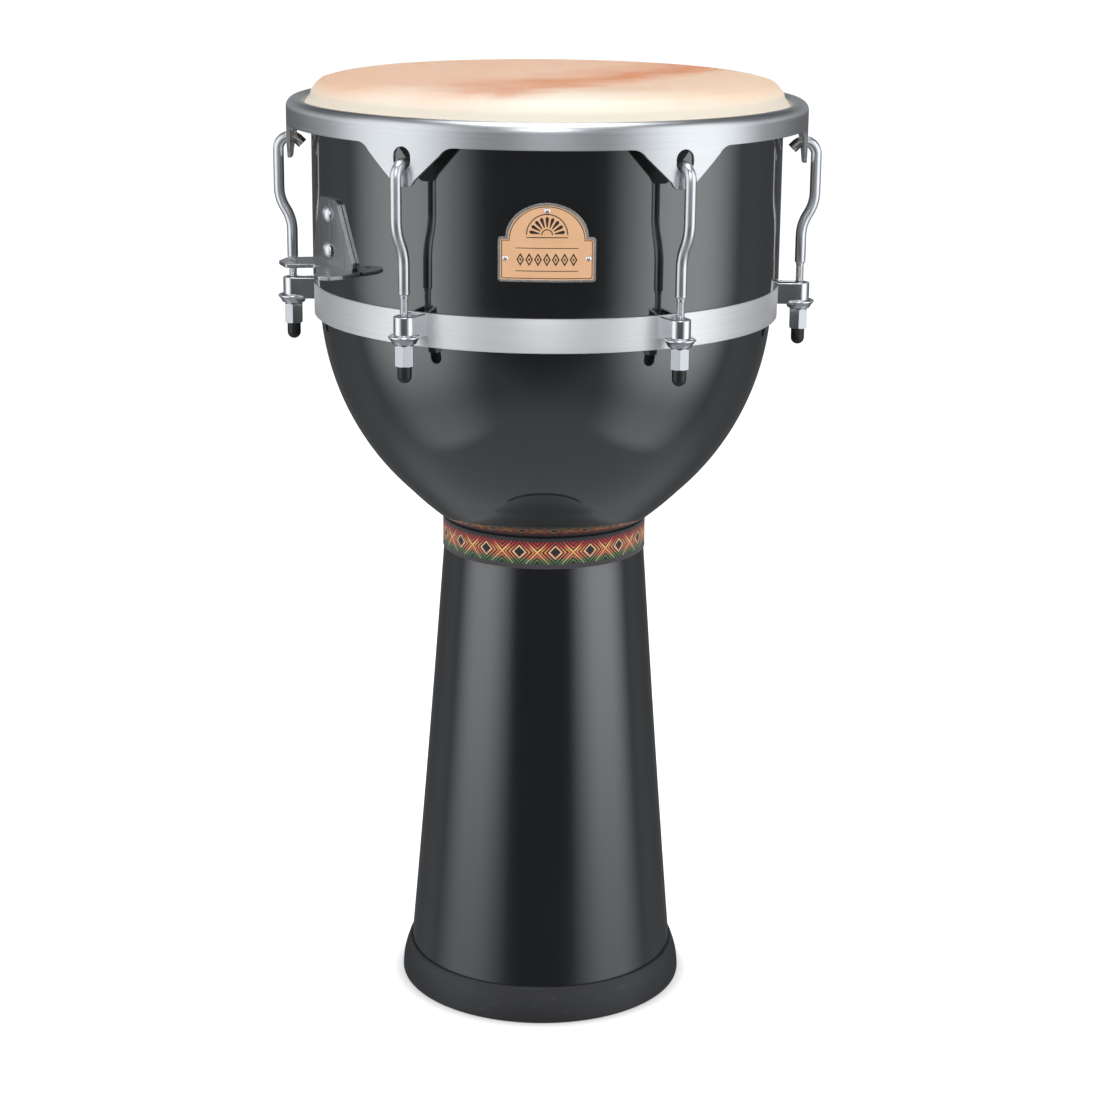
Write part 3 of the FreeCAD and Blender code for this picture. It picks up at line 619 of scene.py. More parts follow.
print("stem faces inside:", lacquer_outside(stem), "of", len(stem.data.polygons))
shorthand(stem, "shell", "shell_gloss", "stem_shell")

# %% Rubber foot
foot_inner_r = rim_r - wall - 2.6 * MM
lean = 1.8 * MM * 13 * MM / (foot_top - stem_low)
foot_outline = [(foot_inner_r + 1 * MM, 0.0)]
foot_outline += [(foot_r - 3.0 * MM, 0.0)]
bend(foot_outline, (foot_r - 0.8 * MM, 0.9 * MM), (foot_r, 3.2 * MM), 8)
bend(foot_outline, (foot_r - 0.9 * MM, 0.45 * foot_top), (foot_stem_r + 2.6 * MM, foot_top - 2.2 * MM), 14)
bend(foot_outline, (foot_stem_r + 2.0 * MM, foot_top - 0.6 * MM), (foot_stem_r + 0.9 * MM, foot_top), 5)
foot_outline += [(foot_stem_r + 0.02 * MM, foot_top - 0.1 * MM), (rim_r, stem_low),
                 (rim_r - wall, stem_low)]
foot_outline += [(rim_r - wall - lean, stem_low + 13 * MM),
                 (foot_inner_r - lean + 0.6 * MM, stem_low + 13 * MM)]
bend(foot_outline, (foot_inner_r - lean + 0.1 * MM, stem_low + 12.6 * MM),
     (foot_inner_r - lean, stem_low + 12 * MM), 3)
foot_outline += [(foot_inner_r, 1 * MM)]
foot = lathe("rubber_foot_ring", foot_outline, 256)
paint(foot, foot_rubber)
shorthand(foot, "shell", "foot_rubber", "rubber_foot")
print("foot faces:", len(foot.data.polygons))

# %% [markdown]
# ## The ribbon
#
# A woven ribbon hides the joint at the neck. It is one strip of trim, so it is modelled as what it is: a
# thin sheet wrapped once round, with selvedges slightly thicker than the weave and its two ends butted at
# the back. The pattern is a chain of nested lozenges. It is drawn by the material from the angle round
# the neck and the height on the ribbon, so it repeats exactly eighteen times.

# %% Ribbon strip
ribbon_low = low("neck_ribbon", 2)
ribbon_high = high("neck_ribbon", 2)
ribbon_outline = [(neck_r + 0.02 * MM, ribbon_low + 0.1 * MM)]
bend(ribbon_outline, (neck_r + 0.45 * MM, ribbon_low), (neck_r + ribbon_t, ribbon_low + 0.45 * MM), 4)
bend(ribbon_outline, (neck_r + ribbon_t - 0.08 * MM, ribbon_low + 1.0 * MM),
     (neck_r + ribbon_t - 0.15 * MM, ribbon_low + 1.5 * MM), 3)
run(ribbon_outline, (neck_r + ribbon_t - 0.15 * MM, ribbon_high - 1.5 * MM), 12)
bend(ribbon_outline, (neck_r + ribbon_t - 0.08 * MM, ribbon_high - 1.0 * MM),
     (neck_r + ribbon_t, ribbon_high - 0.45 * MM), 3)
bend(ribbon_outline, (neck_r + 0.45 * MM, ribbon_high), (neck_r + 0.02 * MM, ribbon_high - 0.1 * MM), 4)
ribbon = draw("ribbon", ribbon_outline)
seam = math.radians(0.12)
hold(ribbon)
ribbon.rotation_euler = (0, 0, math.pi / 2 + seam)
settle(ribbon)
bpy.ops.object.mode_set(mode="EDIT")
bpy.ops.mesh.select_all(action="SELECT")
bpy.ops.mesh.edge_face_add()
bpy.ops.mesh.spin(steps=360, angle=math.tau - 2 * seam, center=(0, 0, 0), axis=(0, 0, 1))
bpy.ops.object.mode_set(mode="OBJECT")
tidy_mesh(ribbon)
smooth(ribbon)
print("ribbon corners:", len(ribbon.data.vertices))


def woven_ribbon(repeats=18):
    """Nested lozenges on a black ground, with a cord selvedge above and below."""
    r = Recipe("woven_ribbon")
    split = r.nodes.new("ShaderNodeSeparateXYZ")
    r.links.new(r.place.outputs["Object"], split.inputs[0])
    x, y, z = split.outputs
    turn = r.math("ARCTAN2", x, r.math("MULTIPLY", y, -1.0))
    along = r.math("ADD", r.math("MULTIPLY", turn, repeats / math.tau), 0.145)
    height = r.spread(z, ribbon_low, ribbon_high, 0.0, 1.0)
    # Threads step the drawing, as a loom does.
    thread = r.math("DIVIDE", r.math("FLOOR", r.math("MULTIPLY", along, 46.0)), 46.0)
    across = r.math("DIVIDE", r.math("FLOOR", r.math("MULTIPLY", height, 40.0)), 40.0)
    field = r.spread(across, 0.17, 0.89, 0.0, 1.0)
    side = r.math("ABSOLUTE", r.math("SUBTRACT", r.math("FRACT", thread), 0.5))
    up_side = r.math("MULTIPLY", r.math("ABSOLUTE", r.math("SUBTRACT", field, 0.5)), 0.62)
    # Zero at a lozenge's middle, a half where its points meet the next one's.
    lozenge = r.math("ADD", side, up_side)
    black = (0.012, 0.012, 0.014)
    line = r.shades(field, (0.0, (0.035, 0.15, 0.04)), (0.16, (0.16, 0.24, 0.08)),
                    (0.30, (0.74, 0.17, 0.07)),
                    (0.46, (0.84, 0.24, 0.08)), (0.60, (0.88, 0.38, 0.11)), (0.76, (0.74, 0.06, 0.03)),
                    (0.95, (0.36, 0.014, 0.018)))
    crossing = r.shades(field, (0.05, (0.20, 0.30, 0.12)), (0.28, (0.82, 0.30, 0.14)),
                        (0.50, (0.88, 0.42, 0.12)),
                        (0.62, (0.90, 0.58, 0.22)), (0.80, (0.78, 0.16, 0.08)), (0.98, (0.42, 0.02, 0.03)))
    ring = r.shades(field, (0.15, (0.42, 0.36, 0.18)), (0.35, (0.84, 0.38, 0.22)),
                    (0.55, (0.90, 0.55, 0.26)),
                    (0.75, (0.92, 0.58, 0.30)), (0.90, (0.74, 0.10, 0.05)))

    def between(value, start, end):
        return r.math("MULTIPLY", r.math("GREATER_THAN", value, start), r.math("LESS_THAN", value, end))

    colour = r.mix(between(lozenge, 0.15, 0.205), black, ring)
    colour = r.mix(between(lozenge, 0.265, 0.315), colour, line)
    colour = r.mix(between(lozenge, 0.375, 0.420), colour, line)
    colour = r.mix(between(lozenge, 0.472, 0.530), colour, crossing)
    colour = r.mix(between(lozenge, 0.588, 0.632), colour, line)
    colour = r.mix(between(lozenge, 0.690, 0.735), colour, line)
    edge_top = r.math("GREATER_THAN", height, 0.89)
    edge_low = r.math("LESS_THAN", height, 0.16)
    colour = r.mix(edge_top, colour, (0.022, 0.022, 0.025))
    colour = r.mix(edge_low, colour, (0.050, 0.040, 0.046))
    warp = r.math("SINE", r.math("MULTIPLY", turn, 46.0 * repeats))
    weft = r.math("SINE", r.math("MULTIPLY", z, math.tau / 0.0006))
    weave = r.math("MULTIPLY", warp, weft)
    fuzz = r.noise(700, 3)
    shade = r.math("ADD", r.spread(weave, -1, 1, 0.72, 1.06), r.spread(fuzz, 0.3, 0.7, -0.12, 0.12))
    worn = r.nodes.new("ShaderNodeVectorMath")
    worn.operation = "SCALE"
    r.links.new(colour, worn.inputs[0])
    r.links.new(shade, worn.inputs["Scale"])
    return r.finish(Base_Color=worn.outputs[0], Roughness=r.spread(fuzz, 0.3, 0.7, 0.62, 0.85),
                    Normal=r.bump(weave, 0.35, 0.0002), Sheen_Weight=0.15, Sheen_Roughness=0.5)


paint(ribbon, woven_ribbon())
shorthand(ribbon, "shell", "ribbon", "neck_ribbon")

# %% [markdown]
# ## The head
#
# A goatskin head is soaked, lapped round a steel ring and pulled down over the bearing edge, where it
# dries hard. It shows a flat playing face, a rounded shoulder and a short upright strip before it goes
# under the crown hoop. Skin is never one colour. The spine of the hide leaves a soft amber streak, the
# rest is cream, and a fine grain with a few hair pores covers it all.

# %% Skin
def goatskin():
    """Cream hide, peach behind, with one amber spine streak across it, faint clouds and pores."""
    r = Recipe("goatskin")
    split = r.nodes.new("ShaderNodeSeparateXYZ")
    r.links.new(r.place.outputs["Object"], split.inputs[0])
    x, y, z = split.outputs
    clouds = r.noise(9, 6, (1, 1.6, 1), 0.55)
    wisps = r.noise(16, 6, (1.6, 0.7, 1), 0.6)
    mottle = r.noise(90, 5)
    grain = r.noise(520, 4)
    pores = r.noise(1500, 1)
    wander = r.math("MULTIPLY", r.math("SUBTRACT", clouds, 0.5), 0.11)
    # Distance to the front right of the spine's line, in metres.
    off = r.math("ADD", r.math("ADD", r.math("MULTIPLY", x, 0.849), r.math("MULTIPLY", y, -0.528)), -0.0545)
    off = r.math("ADD", off, wander)
    frontal = r.spread(r.math("ADD", y, wander), -0.180, -0.095, 1.0, 0.0)
    cream = (0.98, 0.87, 0.72)
    colour = r.mix(r.spread(off, -0.05, 0.09, 0, 1), (0.86, 0.53, 0.355), (0.90, 0.63, 0.44))
    spine = r.math("MULTIPLY", r.spread(off, -0.070, -0.012, 0, 1), r.spread(off, 0.004, 0.038, 1, 0))
    spine = r.math("MULTIPLY", spine, r.spread(wisps, 0.30, 0.60, 0.6, 1.0))
    colour = r.mix(r.spread(wisps, 0.55, 0.78, 0, 0.5), colour, (0.82, 0.47, 0.29))
    colour = r.mix(frontal, colour, cream)
    spine = r.math("MULTIPLY", spine, r.spread(y, -0.178, -0.150, 0.0, 1.0))
    colour = r.mix(spine, colour, (0.74, 0.275, 0.125))
    colour = r.mix(r.spread(z, edge_z - 0.012, edge_z - 0.002, 0.85, 0.0), colour, cream)
    colour = r.mix(r.spread(mottle, 0.45, 0.8, 0, 0.25), colour, (0.90, 0.82, 0.70))
    colour = r.mix(r.spread(pores, 0.66, 0.74, 0, 0.3), colour, (0.50, 0.33, 0.20))
    tilt = r.bump(grain, 0.12, 0.0004)
    tilt = r.bump(wisps, 0.08, 0.0015, tilt)
    return r.finish(Base_Color=colour, Roughness=r.spread(mottle, 0.3, 0.7, 0.46, 0.62), Normal=tilt,
                    Subsurface_Weight=0.10, Subsurface_Radius=(0.004, 0.0024, 0.0012), Subsurface_Scale=0.5)


lap_r = 4.9 * MM
lap_middle_r = high("flesh_hoop", 0) - 3.5 * MM
lap_z = (low("flesh_hoop", 2) + high("flesh_hoop", 2)) / 2
skin_outline = [(0.0, edge_z), (60 * MM, edge_z), (110 * MM, edge_z), (150 * MM, edge_z)]
bend(skin_outline, (side_r - 17.4 * MM, edge_z - 0.058 * bearing),
     (side_r - 7.9 * MM, edge_z - 0.167 * bearing), 8)
bend(skin_outline, (side_r - 3.7 * MM, edge_z - 0.31 * bearing),
     (side_r - 1.3 * MM, edge_z - 0.46 * bearing), 8)
run(skin_outline, (lap_middle_r - lap_r + 0.1 * MM, lap_z), 3)
bend(skin_outline, (lap_middle_r, lap_z - lap_r), (lap_middle_r + lap_r, lap_z), 16)
bend(skin_outline, (lap_middle_r, lap_z + lap_r), (lap_middle_r - 3.7 * MM, lap_z + 3.2 * MM), 12)
run(skin_outline, (side_r + 0.4 * MM, edge_z - 0.46 * bearing - 2 * MM), 2)
skin_outline += [(side_r, edge_z - 0.46 * bearing + 0.4 * MM)]
bend(skin_outline, (side_r - 2.8 * MM, edge_z - 0.27 * bearing),
     (side_r - 7.1 * MM, head_z - 0.16 * bearing), 8)
bend(skin_outline, (side_r - 17.1 * MM, head_z - 0.054 * bearing), (150 * MM, head_z), 10)
skin_outline += [(120 * MM, head_z), (80 * MM, head_z), (40 * MM, head_z), (0.0, head_z)]
skin = lathe("skin", skin_outline, 256)
paint(skin, goatskin())
shorthand(skin, "head_and_hoop", "skin", "head_skin")
print("skin faces:", len(skin.data.polygons))

# %% [markdown]
# ## The crown hoop
#
# The hoop is pressed from sheet: a short skirt, an edge rolled inwards over the skin's lap, and six
# pierced ears for the hooks. We make one sixth of it flat. The skirt and its ear are one outline with an
# oval hole, and the rolled edge is a bar of the same section. Both are divided by upright cuts at the
# same places, joined, rolled to the hoop's radius, and then copied six times round. The last step rounds
# every edge a little, because plated steel never has a sharp one.

# %% One sixth of the hoop
hoop_t = 3 * MM
hoop_inner = hoop_r - hoop_t
hoop_low = hoop_top - 18.8 * MM
roll_z = hoop_top - 7 * MM
half_sector = hoop_r * math.pi / 6
ear_half = 34 * MM
ear_tip = 10.5 * MM
ear_shoulder = ear_low + 4.5 * MM


def half_ear(side):
    """The ear's outline on one side, from the hoop's edge to the tip. Side is 1 or -1."""
    points = [(side * (ear_half + 7 * MM), hoop_low)]
    bend(points, (side * (ear_half + 0.8 * MM), hoop_low - 1.4 * MM),
         (side * (ear_half - 4 * MM), hoop_low - 5.6 * MM), 8)
    points += [(side * (ear_tip - 0.6 * MM), ear_shoulder)]
    bend(points, (side * 0.72 * ear_tip, ear_low + 1.2 * MM), (side * 0.4 * ear_tip, ear_low), 6)
    return points


sheet_outline = [(-half_sector, roll_z), (-half_sector, hoop_low)]
sheet_outline += half_ear(-1)
sheet_outline += half_ear(1)[::-1]
sheet_outline += [(half_sector, hoop_low), (half_sector, roll_z)]
sector = slab("crown_hoop_ring", sheet_outline, hoop_inner, hoop_r)

hole_w = 7.0 * MM
hole_half = 1.2 * MM
hole_z = hoop_low - 9.0 * MM
hole_outline = [(-hole_w, hole_z - hole_half)]
bend(hole_outline, (0, hole_z - hole_half - hole_w), (hole_w, hole_z - hole_half), 18)
hole_outline += [(hole_w, hole_z + hole_half)]
hole_outline += arc(hole_outline[-1], (0, hole_z + hole_half + hole_w), (-hole_w, hole_z + hole_half),
                    18)[:-1]
hole_outline += [(-hole_w, hole_z + hole_half)]
hole = slab("hole", hole_outline, hoop_inner - 0.01, hoop_r + 0.01)
cut_away(sector, hole)

ridge_r = hoop_r - 6 * MM
lip_r = hoop_r - 11.8 * MM
roll_outline = [(hoop_r, roll_z)]
bend(roll_outline, (hoop_r - 1.8 * MM, hoop_top - 2.1 * MM), (ridge_r, hoop_top), 12)
bend(roll_outline, (ridge_r - 3 * MM, hoop_top - 0.4 * MM), (lip_r, hoop_top - 2.1 * MM), 6)
bend(roll_outline, (lip_r - 0.9 * MM, hoop_top - 3.8 * MM), (lip_r + 0.9 * MM, hoop_top - 4.9 * MM), 6)
bend(roll_outline, (ridge_r - 2.2 * MM, hoop_top - 3.3 * MM), (ridge_r, hoop_top - hoop_t), 5)
bend(roll_outline, (hoop_inner - 0.9 * MM, hoop_top - hoop_t - 1.1 * MM), (hoop_inner, roll_z), 6)

bar = draw("rolled_edge", roll_outline)
hold(bar)
bar.rotation_euler = (0, 0, -math.pi / 2)
settle(bar)
bar.location = (-half_sector, 0, 0)
settle(bar)
bpy.ops.object.mode_set(mode="EDIT")
bpy.ops.mesh.select_all(action="SELECT")
bpy.ops.mesh.extrude_region_move(TRANSFORM_OT_translate={"value": (2 * half_sector, 0, 0)})
bpy.ops.object.mode_set(mode="OBJECT")


def remove_faces(piece, unwanted):
    """Deletes the faces that a test picks out."""
    hold(piece)
    bpy.ops.object.mode_set(mode="EDIT")
    bpy.ops.mesh.select_mode(type="FACE")
    bpy.ops.mesh.select_all(action="DESELECT")
    bpy.ops.object.mode_set(mode="OBJECT")
    count = 0
    for face in piece.data.polygons:
        face.select = unwanted(face)
        count += face.select
    bpy.ops.object.mode_set(mode="EDIT")
    bpy.ops.mesh.delete(type="FACE")
    bpy.ops.mesh.select_mode(type="VERT")
    bpy.ops.object.mode_set(mode="OBJECT")
    return count


def on_the_joint(face):
    """Faces between the skirt and the rolled edge, and the sector's two cut ends."""
    flat_joint = abs(face.center.z - roll_z) < 0.01 * MM and abs(face.normal.z) > 0.9
    cut_end = abs(abs(face.center.x) - half_sector) < 0.01 * MM and abs(face.normal.x) > 0.9
    return flat_joint or cut_end


print("joint faces:", remove_faces(sector, on_the_joint), remove_faces(bar, on_the_joint))
cuts = half_sector / 20
slice_across(sector, half_sector - 0.1 * MM, cuts)
slice_across(bar, half_sector - 0.1 * MM, cuts)
hold(sector, bar)
bpy.ops.object.join()
tidy_mesh(sector)
roll_round(sector, hoop_r)
print("sector corners:", len(sector.data.vertices))

# %% The whole hoop
sixths = []
for number, angle in enumerate(lug_angles, 1):
    sixths.append(turned_to(sector, angle, f"sixth_{number}"))
bpy.data.objects.remove(sector)
hoop = sixths[0]
hold(*sixths)
bpy.ops.object.join()
hoop.name = "crown_hoop_ring"
tidy_mesh(hoop, 0.00002)
modify(hoop, "BEVEL", width=0.45 * MM, segments=3, limit_method="ANGLE", angle_limit=math.radians(50))
smooth(hoop, 40)
modify(hoop, "WEIGHTED_NORMAL", keep_sharp=True)
paint(hoop, hoop_steel)
shorthand(hoop, "head_and_hoop", "chrome", "crown_hoop")
print("hoop faces:", len(hoop.data.polygons))

# %% [markdown]
# ## Tension hooks
#
# A hook is a steel rod bent cold round a pin, so its bends are true arcs and its thickness never changes.
# The rod passes through the ear from behind, goes over, comes down outside, steps back in with a double
# bend so that it pulls straight over its nut, and ends in a turned-down shank with a rolled thread. We
# draw its centreline, give the line a round section, and add the thread as a screwed ridge of one pitch
# per turn.

# %% Hook rod
rod_r = 4.1 * MM
thread_r = 3.175 * MM
pitch_of_thread = 1.27 * MM
hook_top = high("tension_hook_3", 2)
hook_out = 204.5 * MM
bend_r = 9.3 * MM
bend_z = hook_top - rod_r - bend_r
shoulder_z = bend_z - 83.3 * MM
slope = math.radians(45)
bend_middle = (hook_out - bend_r, bend_z)
tail_start = (bend_middle[0] - bend_r * math.cos(slope), bend_z + bend_r * math.sin(slope))
tail_end = (tail_start[0] - 3.8 * MM * math.sin(slope), tail_start[1] - 3.8 * MM * math.cos(slope))
double_z = bend_z - 29 * MM
double_low = double_z - 33 * MM
step = hook_out - shank_r
lean_angle = 2 * math.atan(step / (33 * MM))
sweep = 33 * MM / (2 * math.sin(lean_angle))
ease = sweep * (1 - math.cos(lean_angle / 2))
drop = sweep * math.sin(lean_angle / 2)
centreline = [tail_end, tail_start]
centreline += arc(tail_start, (bend_middle[0], bend_z + bend_r), (hook_out, bend_z), 24)
run(centreline, (hook_out, double_z), 3)
bend(centreline, (hook_out - ease, double_z - drop), (hook_out - step / 2, double_z - 16.5 * MM), 8)
bend(centreline, (shank_r + ease, double_low + drop), (shank_r, double_low), 8)
centreline += [(shank_r, shoulder_z + 2.2 * MM)]


def rod(name, points, radius, sides=10):
    """A round rod along a line of points, given as distance out and height."""
    curve = bpy.data.curves.new(name, "CURVE")
    curve.dimensions = "3D"
    line = curve.splines.new("POLY")
    line.points.add(len(points) - 1)
    for point, (out, z) in zip(line.points, points):
        point.co = (0, -out, z, 1)
    curve.bevel_depth = radius
    curve.bevel_resolution = sides
    curve.use_fill_caps = True
    piece = bpy.data.objects.new(name, curve)
    bpy.context.collection.objects.link(piece)
    hold(piece)
    bpy.ops.object.convert(target="MESH")
    return bpy.context.object


hook_rod = rod("hook_rod", centreline, rod_r)
tidy_mesh(hook_rod)
modify(hook_rod, "BEVEL", width=0.8 * MM, segments=3, limit_method="ANGLE", angle_limit=math.radians(60))

# %% Shoulder and threaded shank
shank_low = shoulder_z - 57 * MM
root_r = thread_r - 0.45 * MM
shank_outline = [(0.0, shank_low), (root_r - 0.5 * MM, shank_low), (root_r, shank_low + 0.5 * MM)]
shank_outline += [(root_r, shoulder_z - 2 * MM), (thread_r - 0.1 * MM, shoulder_z - 1.2 * MM),
                  (thread_r - 0.1 * MM, shoulder_z)]
bend(shank_outline, (rod_r - 0.35 * MM, shoulder_z + 0.6 * MM), (rod_r, shoulder_z + 1.6 * MM), 5)
shank_outline += [(rod_r, shoulder_z + 2.6 * MM), (0.0, shoulder_z + 2.6 * MM)]
shank = moved_to_shank(lathe("shank", shank_outline, 32))

ridge_outline = [
    (root_r - 0.3 * MM, shank_low + 0.6 * MM),
    (thread_r - 0.04 * MM, shank_low + 1.0 * MM),
    (thread_r, shank_low + 1.1 * MM),
    (thread_r - 0.04 * MM, shank_low + 1.2 * MM),
    (root_r - 0.3 * MM, shank_low + 1.6 * MM),
]
ridge = draw("thread_ridge", ridge_outline)
turns = int((shoulder_z - shank_low - 3 * MM) / pitch_of_thread)
modify(ridge, "SCREW", angle=math.tau, screw_offset=pitch_of_thread, iterations=turns, steps=20,
       render_steps=20, use_merge_vertices=True, merge_threshold=0.00001, axis="Z")
hold(ridge)
bpy.ops.object.mode_set(mode="EDIT")
bpy.ops.mesh.select_all(action="DESELECT")
bpy.ops.mesh.select_non_manifold()
bpy.ops.mesh.edge_face_add()
bpy.ops.object.mode_set(mode="OBJECT")
moved_to_shank(ridge)
tidy_mesh(ridge)
hold(hook_rod, shank, ridge)
bpy.ops.object.join()
hook_rod.name = "hook"
smooth(hook_rod, 30)
paint(hook_rod, rod_chrome)
print("hook faces:", len(hook_rod.data.polygons), "thread turns:", turns)

# %% [markdown]
# ## Nuts, caps, saucers and lug brackets
#
# Under each hook sits a stack. A U-shaped lug is welded to the band, a saucer washer hangs under the lug
# with its rim notched round the U's legs, and a long hexagon nut pushes up on the saucer. A rubber cap
# covers the thread's sharp end. Each is made once at the front.

# %% Long nut
nut_high = high("tension_nut_3", 2)
cap_high = high("nut_cap_3", 2)
cap_low = low("nut_cap_3", 2)
flats = 12.8 * MM
corner_r = flats / math.sqrt(3)
hands_off()
nut_low = cap_high
bpy.ops.mesh.primitive_cylinder_add(vertices=6, radius=corner_r, depth=nut_high - nut_low,
                                    location=(0, 0, (nut_high + nut_low) / 2), rotation=(0, 0, math.pi / 6))
nut = settle(bpy.context.object)
nut.name = "nut"
chamfer = (corner_r - flats / 2) * 0.62
barrel_outline = [(0.0, nut_low), (flats / 2 - 0.2 * MM, nut_low), (corner_r + 0.1 * MM, nut_low + chamfer)]
barrel_outline += [(corner_r + 0.1 * MM, nut_high - 0.7 * MM - chamfer),
                   (flats / 2 - 0.1 * MM, nut_high - 0.7 * MM)]
barrel_outline += [(flats / 2 - 0.5 * MM, nut_high - 0.7 * MM), (flats / 2 - 0.5 * MM, nut_high),
                   (0.0, nut_high)]
barrel = lathe("barrel", barrel_outline, 48)
cut_away(nut, barrel, "INTERSECT")
hands_off()
bpy.ops.mesh.primitive_cylinder_add(vertices=32, radius=thread_r + 0.05 * MM, depth=40 * MM,
                                    location=(0, 0, nut_high))
cut_away(nut, bpy.context.object)
spigot_outline = [(thread_r + 0.05 * MM, nut_low + 0.2 * MM), (thread_r + 0.05 * MM, nut_low - 3 * MM),
                  (4.2 * MM, nut_low - 3 * MM), (4.2 * MM, nut_low + 0.2 * MM)]
spigot = lathe("spigot", spigot_outline, 32)
hold(nut, spigot)
bpy.ops.object.join()
modify(nut, "BEVEL", width=0.25 * MM, segments=2, limit_method="ANGLE", angle_limit=math.radians(28))
moved_to_shank(nut)
smooth(nut, 30)
modify(nut, "WEIGHTED_NORMAL", keep_sharp=True)
paint(nut, nut_steel)

# %% Rubber cap
cap_r = 5.15 * MM
cap_bore = thread_r + 0.35 * MM
cap_outline = [(0.0, cap_high - 8.2 * MM), (cap_bore, cap_high - 8.2 * MM), (cap_bore, cap_high - 3 * MM),
               (4.2 * MM, cap_high - 3 * MM)]
cap_outline += [(4.2 * MM, cap_high), (cap_r - 0.5 * MM, cap_high)]
bend(cap_outline, (cap_r - 0.15 * MM, cap_high - 0.15 * MM), (cap_r, cap_high - 0.5 * MM), 3)
run(cap_outline, (cap_r, cap_low + cap_r), 3)
bend(cap_outline, (cap_r * math.cos(slope), cap_low + cap_r - cap_r * math.sin(slope)), (0.0, cap_low), 14)
cap = moved_to_shank(lathe("cap", cap_outline, 40))
paint(cap, cap_rubber)

# %% Saucer washer
cup_low = low("cup_washer_3", 2)
cup_high = high("cup_washer_3", 2)
cup_r = 11.65 * MM
cup_base_r = 8.4 * MM
lug_half = 7.75 * MM
seat_z = cup_low + 3.6 * MM
seat_r = lug_half + 0.35 * MM
cup_hole = thread_r + 0.35 * MM
bead = 0.75 * MM
cup_outline = [(cup_hole, cup_low + 0.3 * MM), (cup_hole + 0.3 * MM, cup_low),
               (cup_base_r - 0.8 * MM, cup_low)]
bend(cup_outline, (cup_base_r - 0.1 * MM, cup_low + 0.25 * MM),
     (cup_base_r + 0.45 * MM, cup_low + 0.9 * MM), 5)
bend(cup_outline, (cup_base_r + 1.35 * MM, cup_low + 2.6 * MM), (cup_r - 0.5 * MM, cup_high - 1.9 * MM), 8)
bend(cup_outline, (cup_r, cup_high - bead), (cup_r - bead, cup_high), 8)
bend(cup_outline, (cup_r - 1.9 * bead, cup_high - 0.5 * bead),
     (cup_r - 2.1 * bead, cup_high - 1.3 * bead), 6)
bend(cup_outline, (seat_r + 0.9 * MM, seat_z + 0.5 * MM), (seat_r, seat_z), 6)
cup_outline += [(cup_hole + 0.3 * MM, seat_z), (cup_hole, seat_z - 0.3 * MM)]
cup = moved_to_shank(lathe("cup", cup_outline, 72))
hands_off()
notch_depth = shank_r - (band_r - cup_r)
bpy.ops.mesh.primitive_cube_add(size=1, location=(0, -shank_r + notch_depth / 2, seat_z + 5 * MM))
notch = bpy.context.object
notch.scale = (2 * lug_half + 0.7 * MM, notch_depth, 10 * MM)
cut_away(cup, settle(notch))
smooth(cup, 35)
paint(cup, lug_chrome)

# %% Lug bracket
lug_low = low("lug_bracket_3", 2)
lug_high = high("lug_bracket_3", 2)
lug_t = 2.8 * MM
root_y = band_r - 0.4 * MM
lug_outline = [(-lug_half, root_y), (-lug_half, shank_r)]
bend(lug_outline, (0, shank_r + lug_half), (lug_half, shank_r), 28)
lug_outline += [(lug_half, root_y), (lug_half - lug_t, root_y), (lug_half - lug_t, shank_r)]
bend(lug_outline, (0, shank_r + lug_half - lug_t), (-lug_half + lug_t, shank_r), 24)
lug_outline += [(-lug_half + lug_t, root_y)]


def upright_bar(name, outline, low_z, high_z):
    """A plate seen from above, given as distance to the side and distance out, raised between two heights."""
    hands_off()
    bpy.ops.mesh.primitive_circle_add(vertices=len(outline), radius=0.1, location=(0, 0, 0))
    piece = bpy.context.object
    piece.name = name
    for corner, (side, out) in zip(piece.data.vertices, outline):
        corner.co = (side, -out, low_z)
    bpy.ops.object.mode_set(mode="EDIT")
    bpy.ops.mesh.select_all(action="SELECT")
    bpy.ops.mesh.edge_face_add()
    bpy.ops.mesh.extrude_region_move(TRANSFORM_OT_translate={"value": (0, 0, high_z - low_z)})
    bpy.ops.mesh.select_all(action="SELECT")
    bpy.ops.mesh.normals_make_consistent(inside=False)
    bpy.ops.object.mode_set(mode="OBJECT")
    return piece


lug = upright_bar("lug", lug_outline, lug_low, lug_high)
modify(lug, "BEVEL", width=0.7 * MM, segments=3, limit_method="ANGLE", angle_limit=math.radians(40))
smooth(lug, 35)
modify(lug, "WEIGHTED_NORMAL", keep_sharp=True)
paint(lug, lug_chrome)
print("faces in a stack:", [len(piece.data.polygons) for piece in (nut, cap, cup, lug)])

# %% Six of each, carried round
stack = (
    (hook_rod, "hook", "tension_hook", "head_and_hoop", "chrome"),
    (nut, "nut", "tension_nut", "nut", "chrome"),
    (cap, "cap", "nut_cap", "nut", "cap_rubber"),
    (cup, "saucer", "cup_washer", "shell", "chrome"),
    (lug, "lug", "lug_bracket", "shell", "chrome"),
)
for pattern, short, node, body, slot in stack:
    for number, angle in enumerate(lug_angles, 1):
        copy = turned_to(pattern, angle, f"{short}_{number}")
        rider = f"nut_{number}" if body == "nut" else body
        shorthand(copy, rider, slot, f"{node}_{number}")
    bpy.data.objects.remove(pattern)

# %% [markdown]
# ## Side band
#
# The band is flat steel strip rolled to a ring and welded shut, so it is a plain rectangle in section
# with slightly broken edges. Its only detail is the brushing, which the finish supplies.

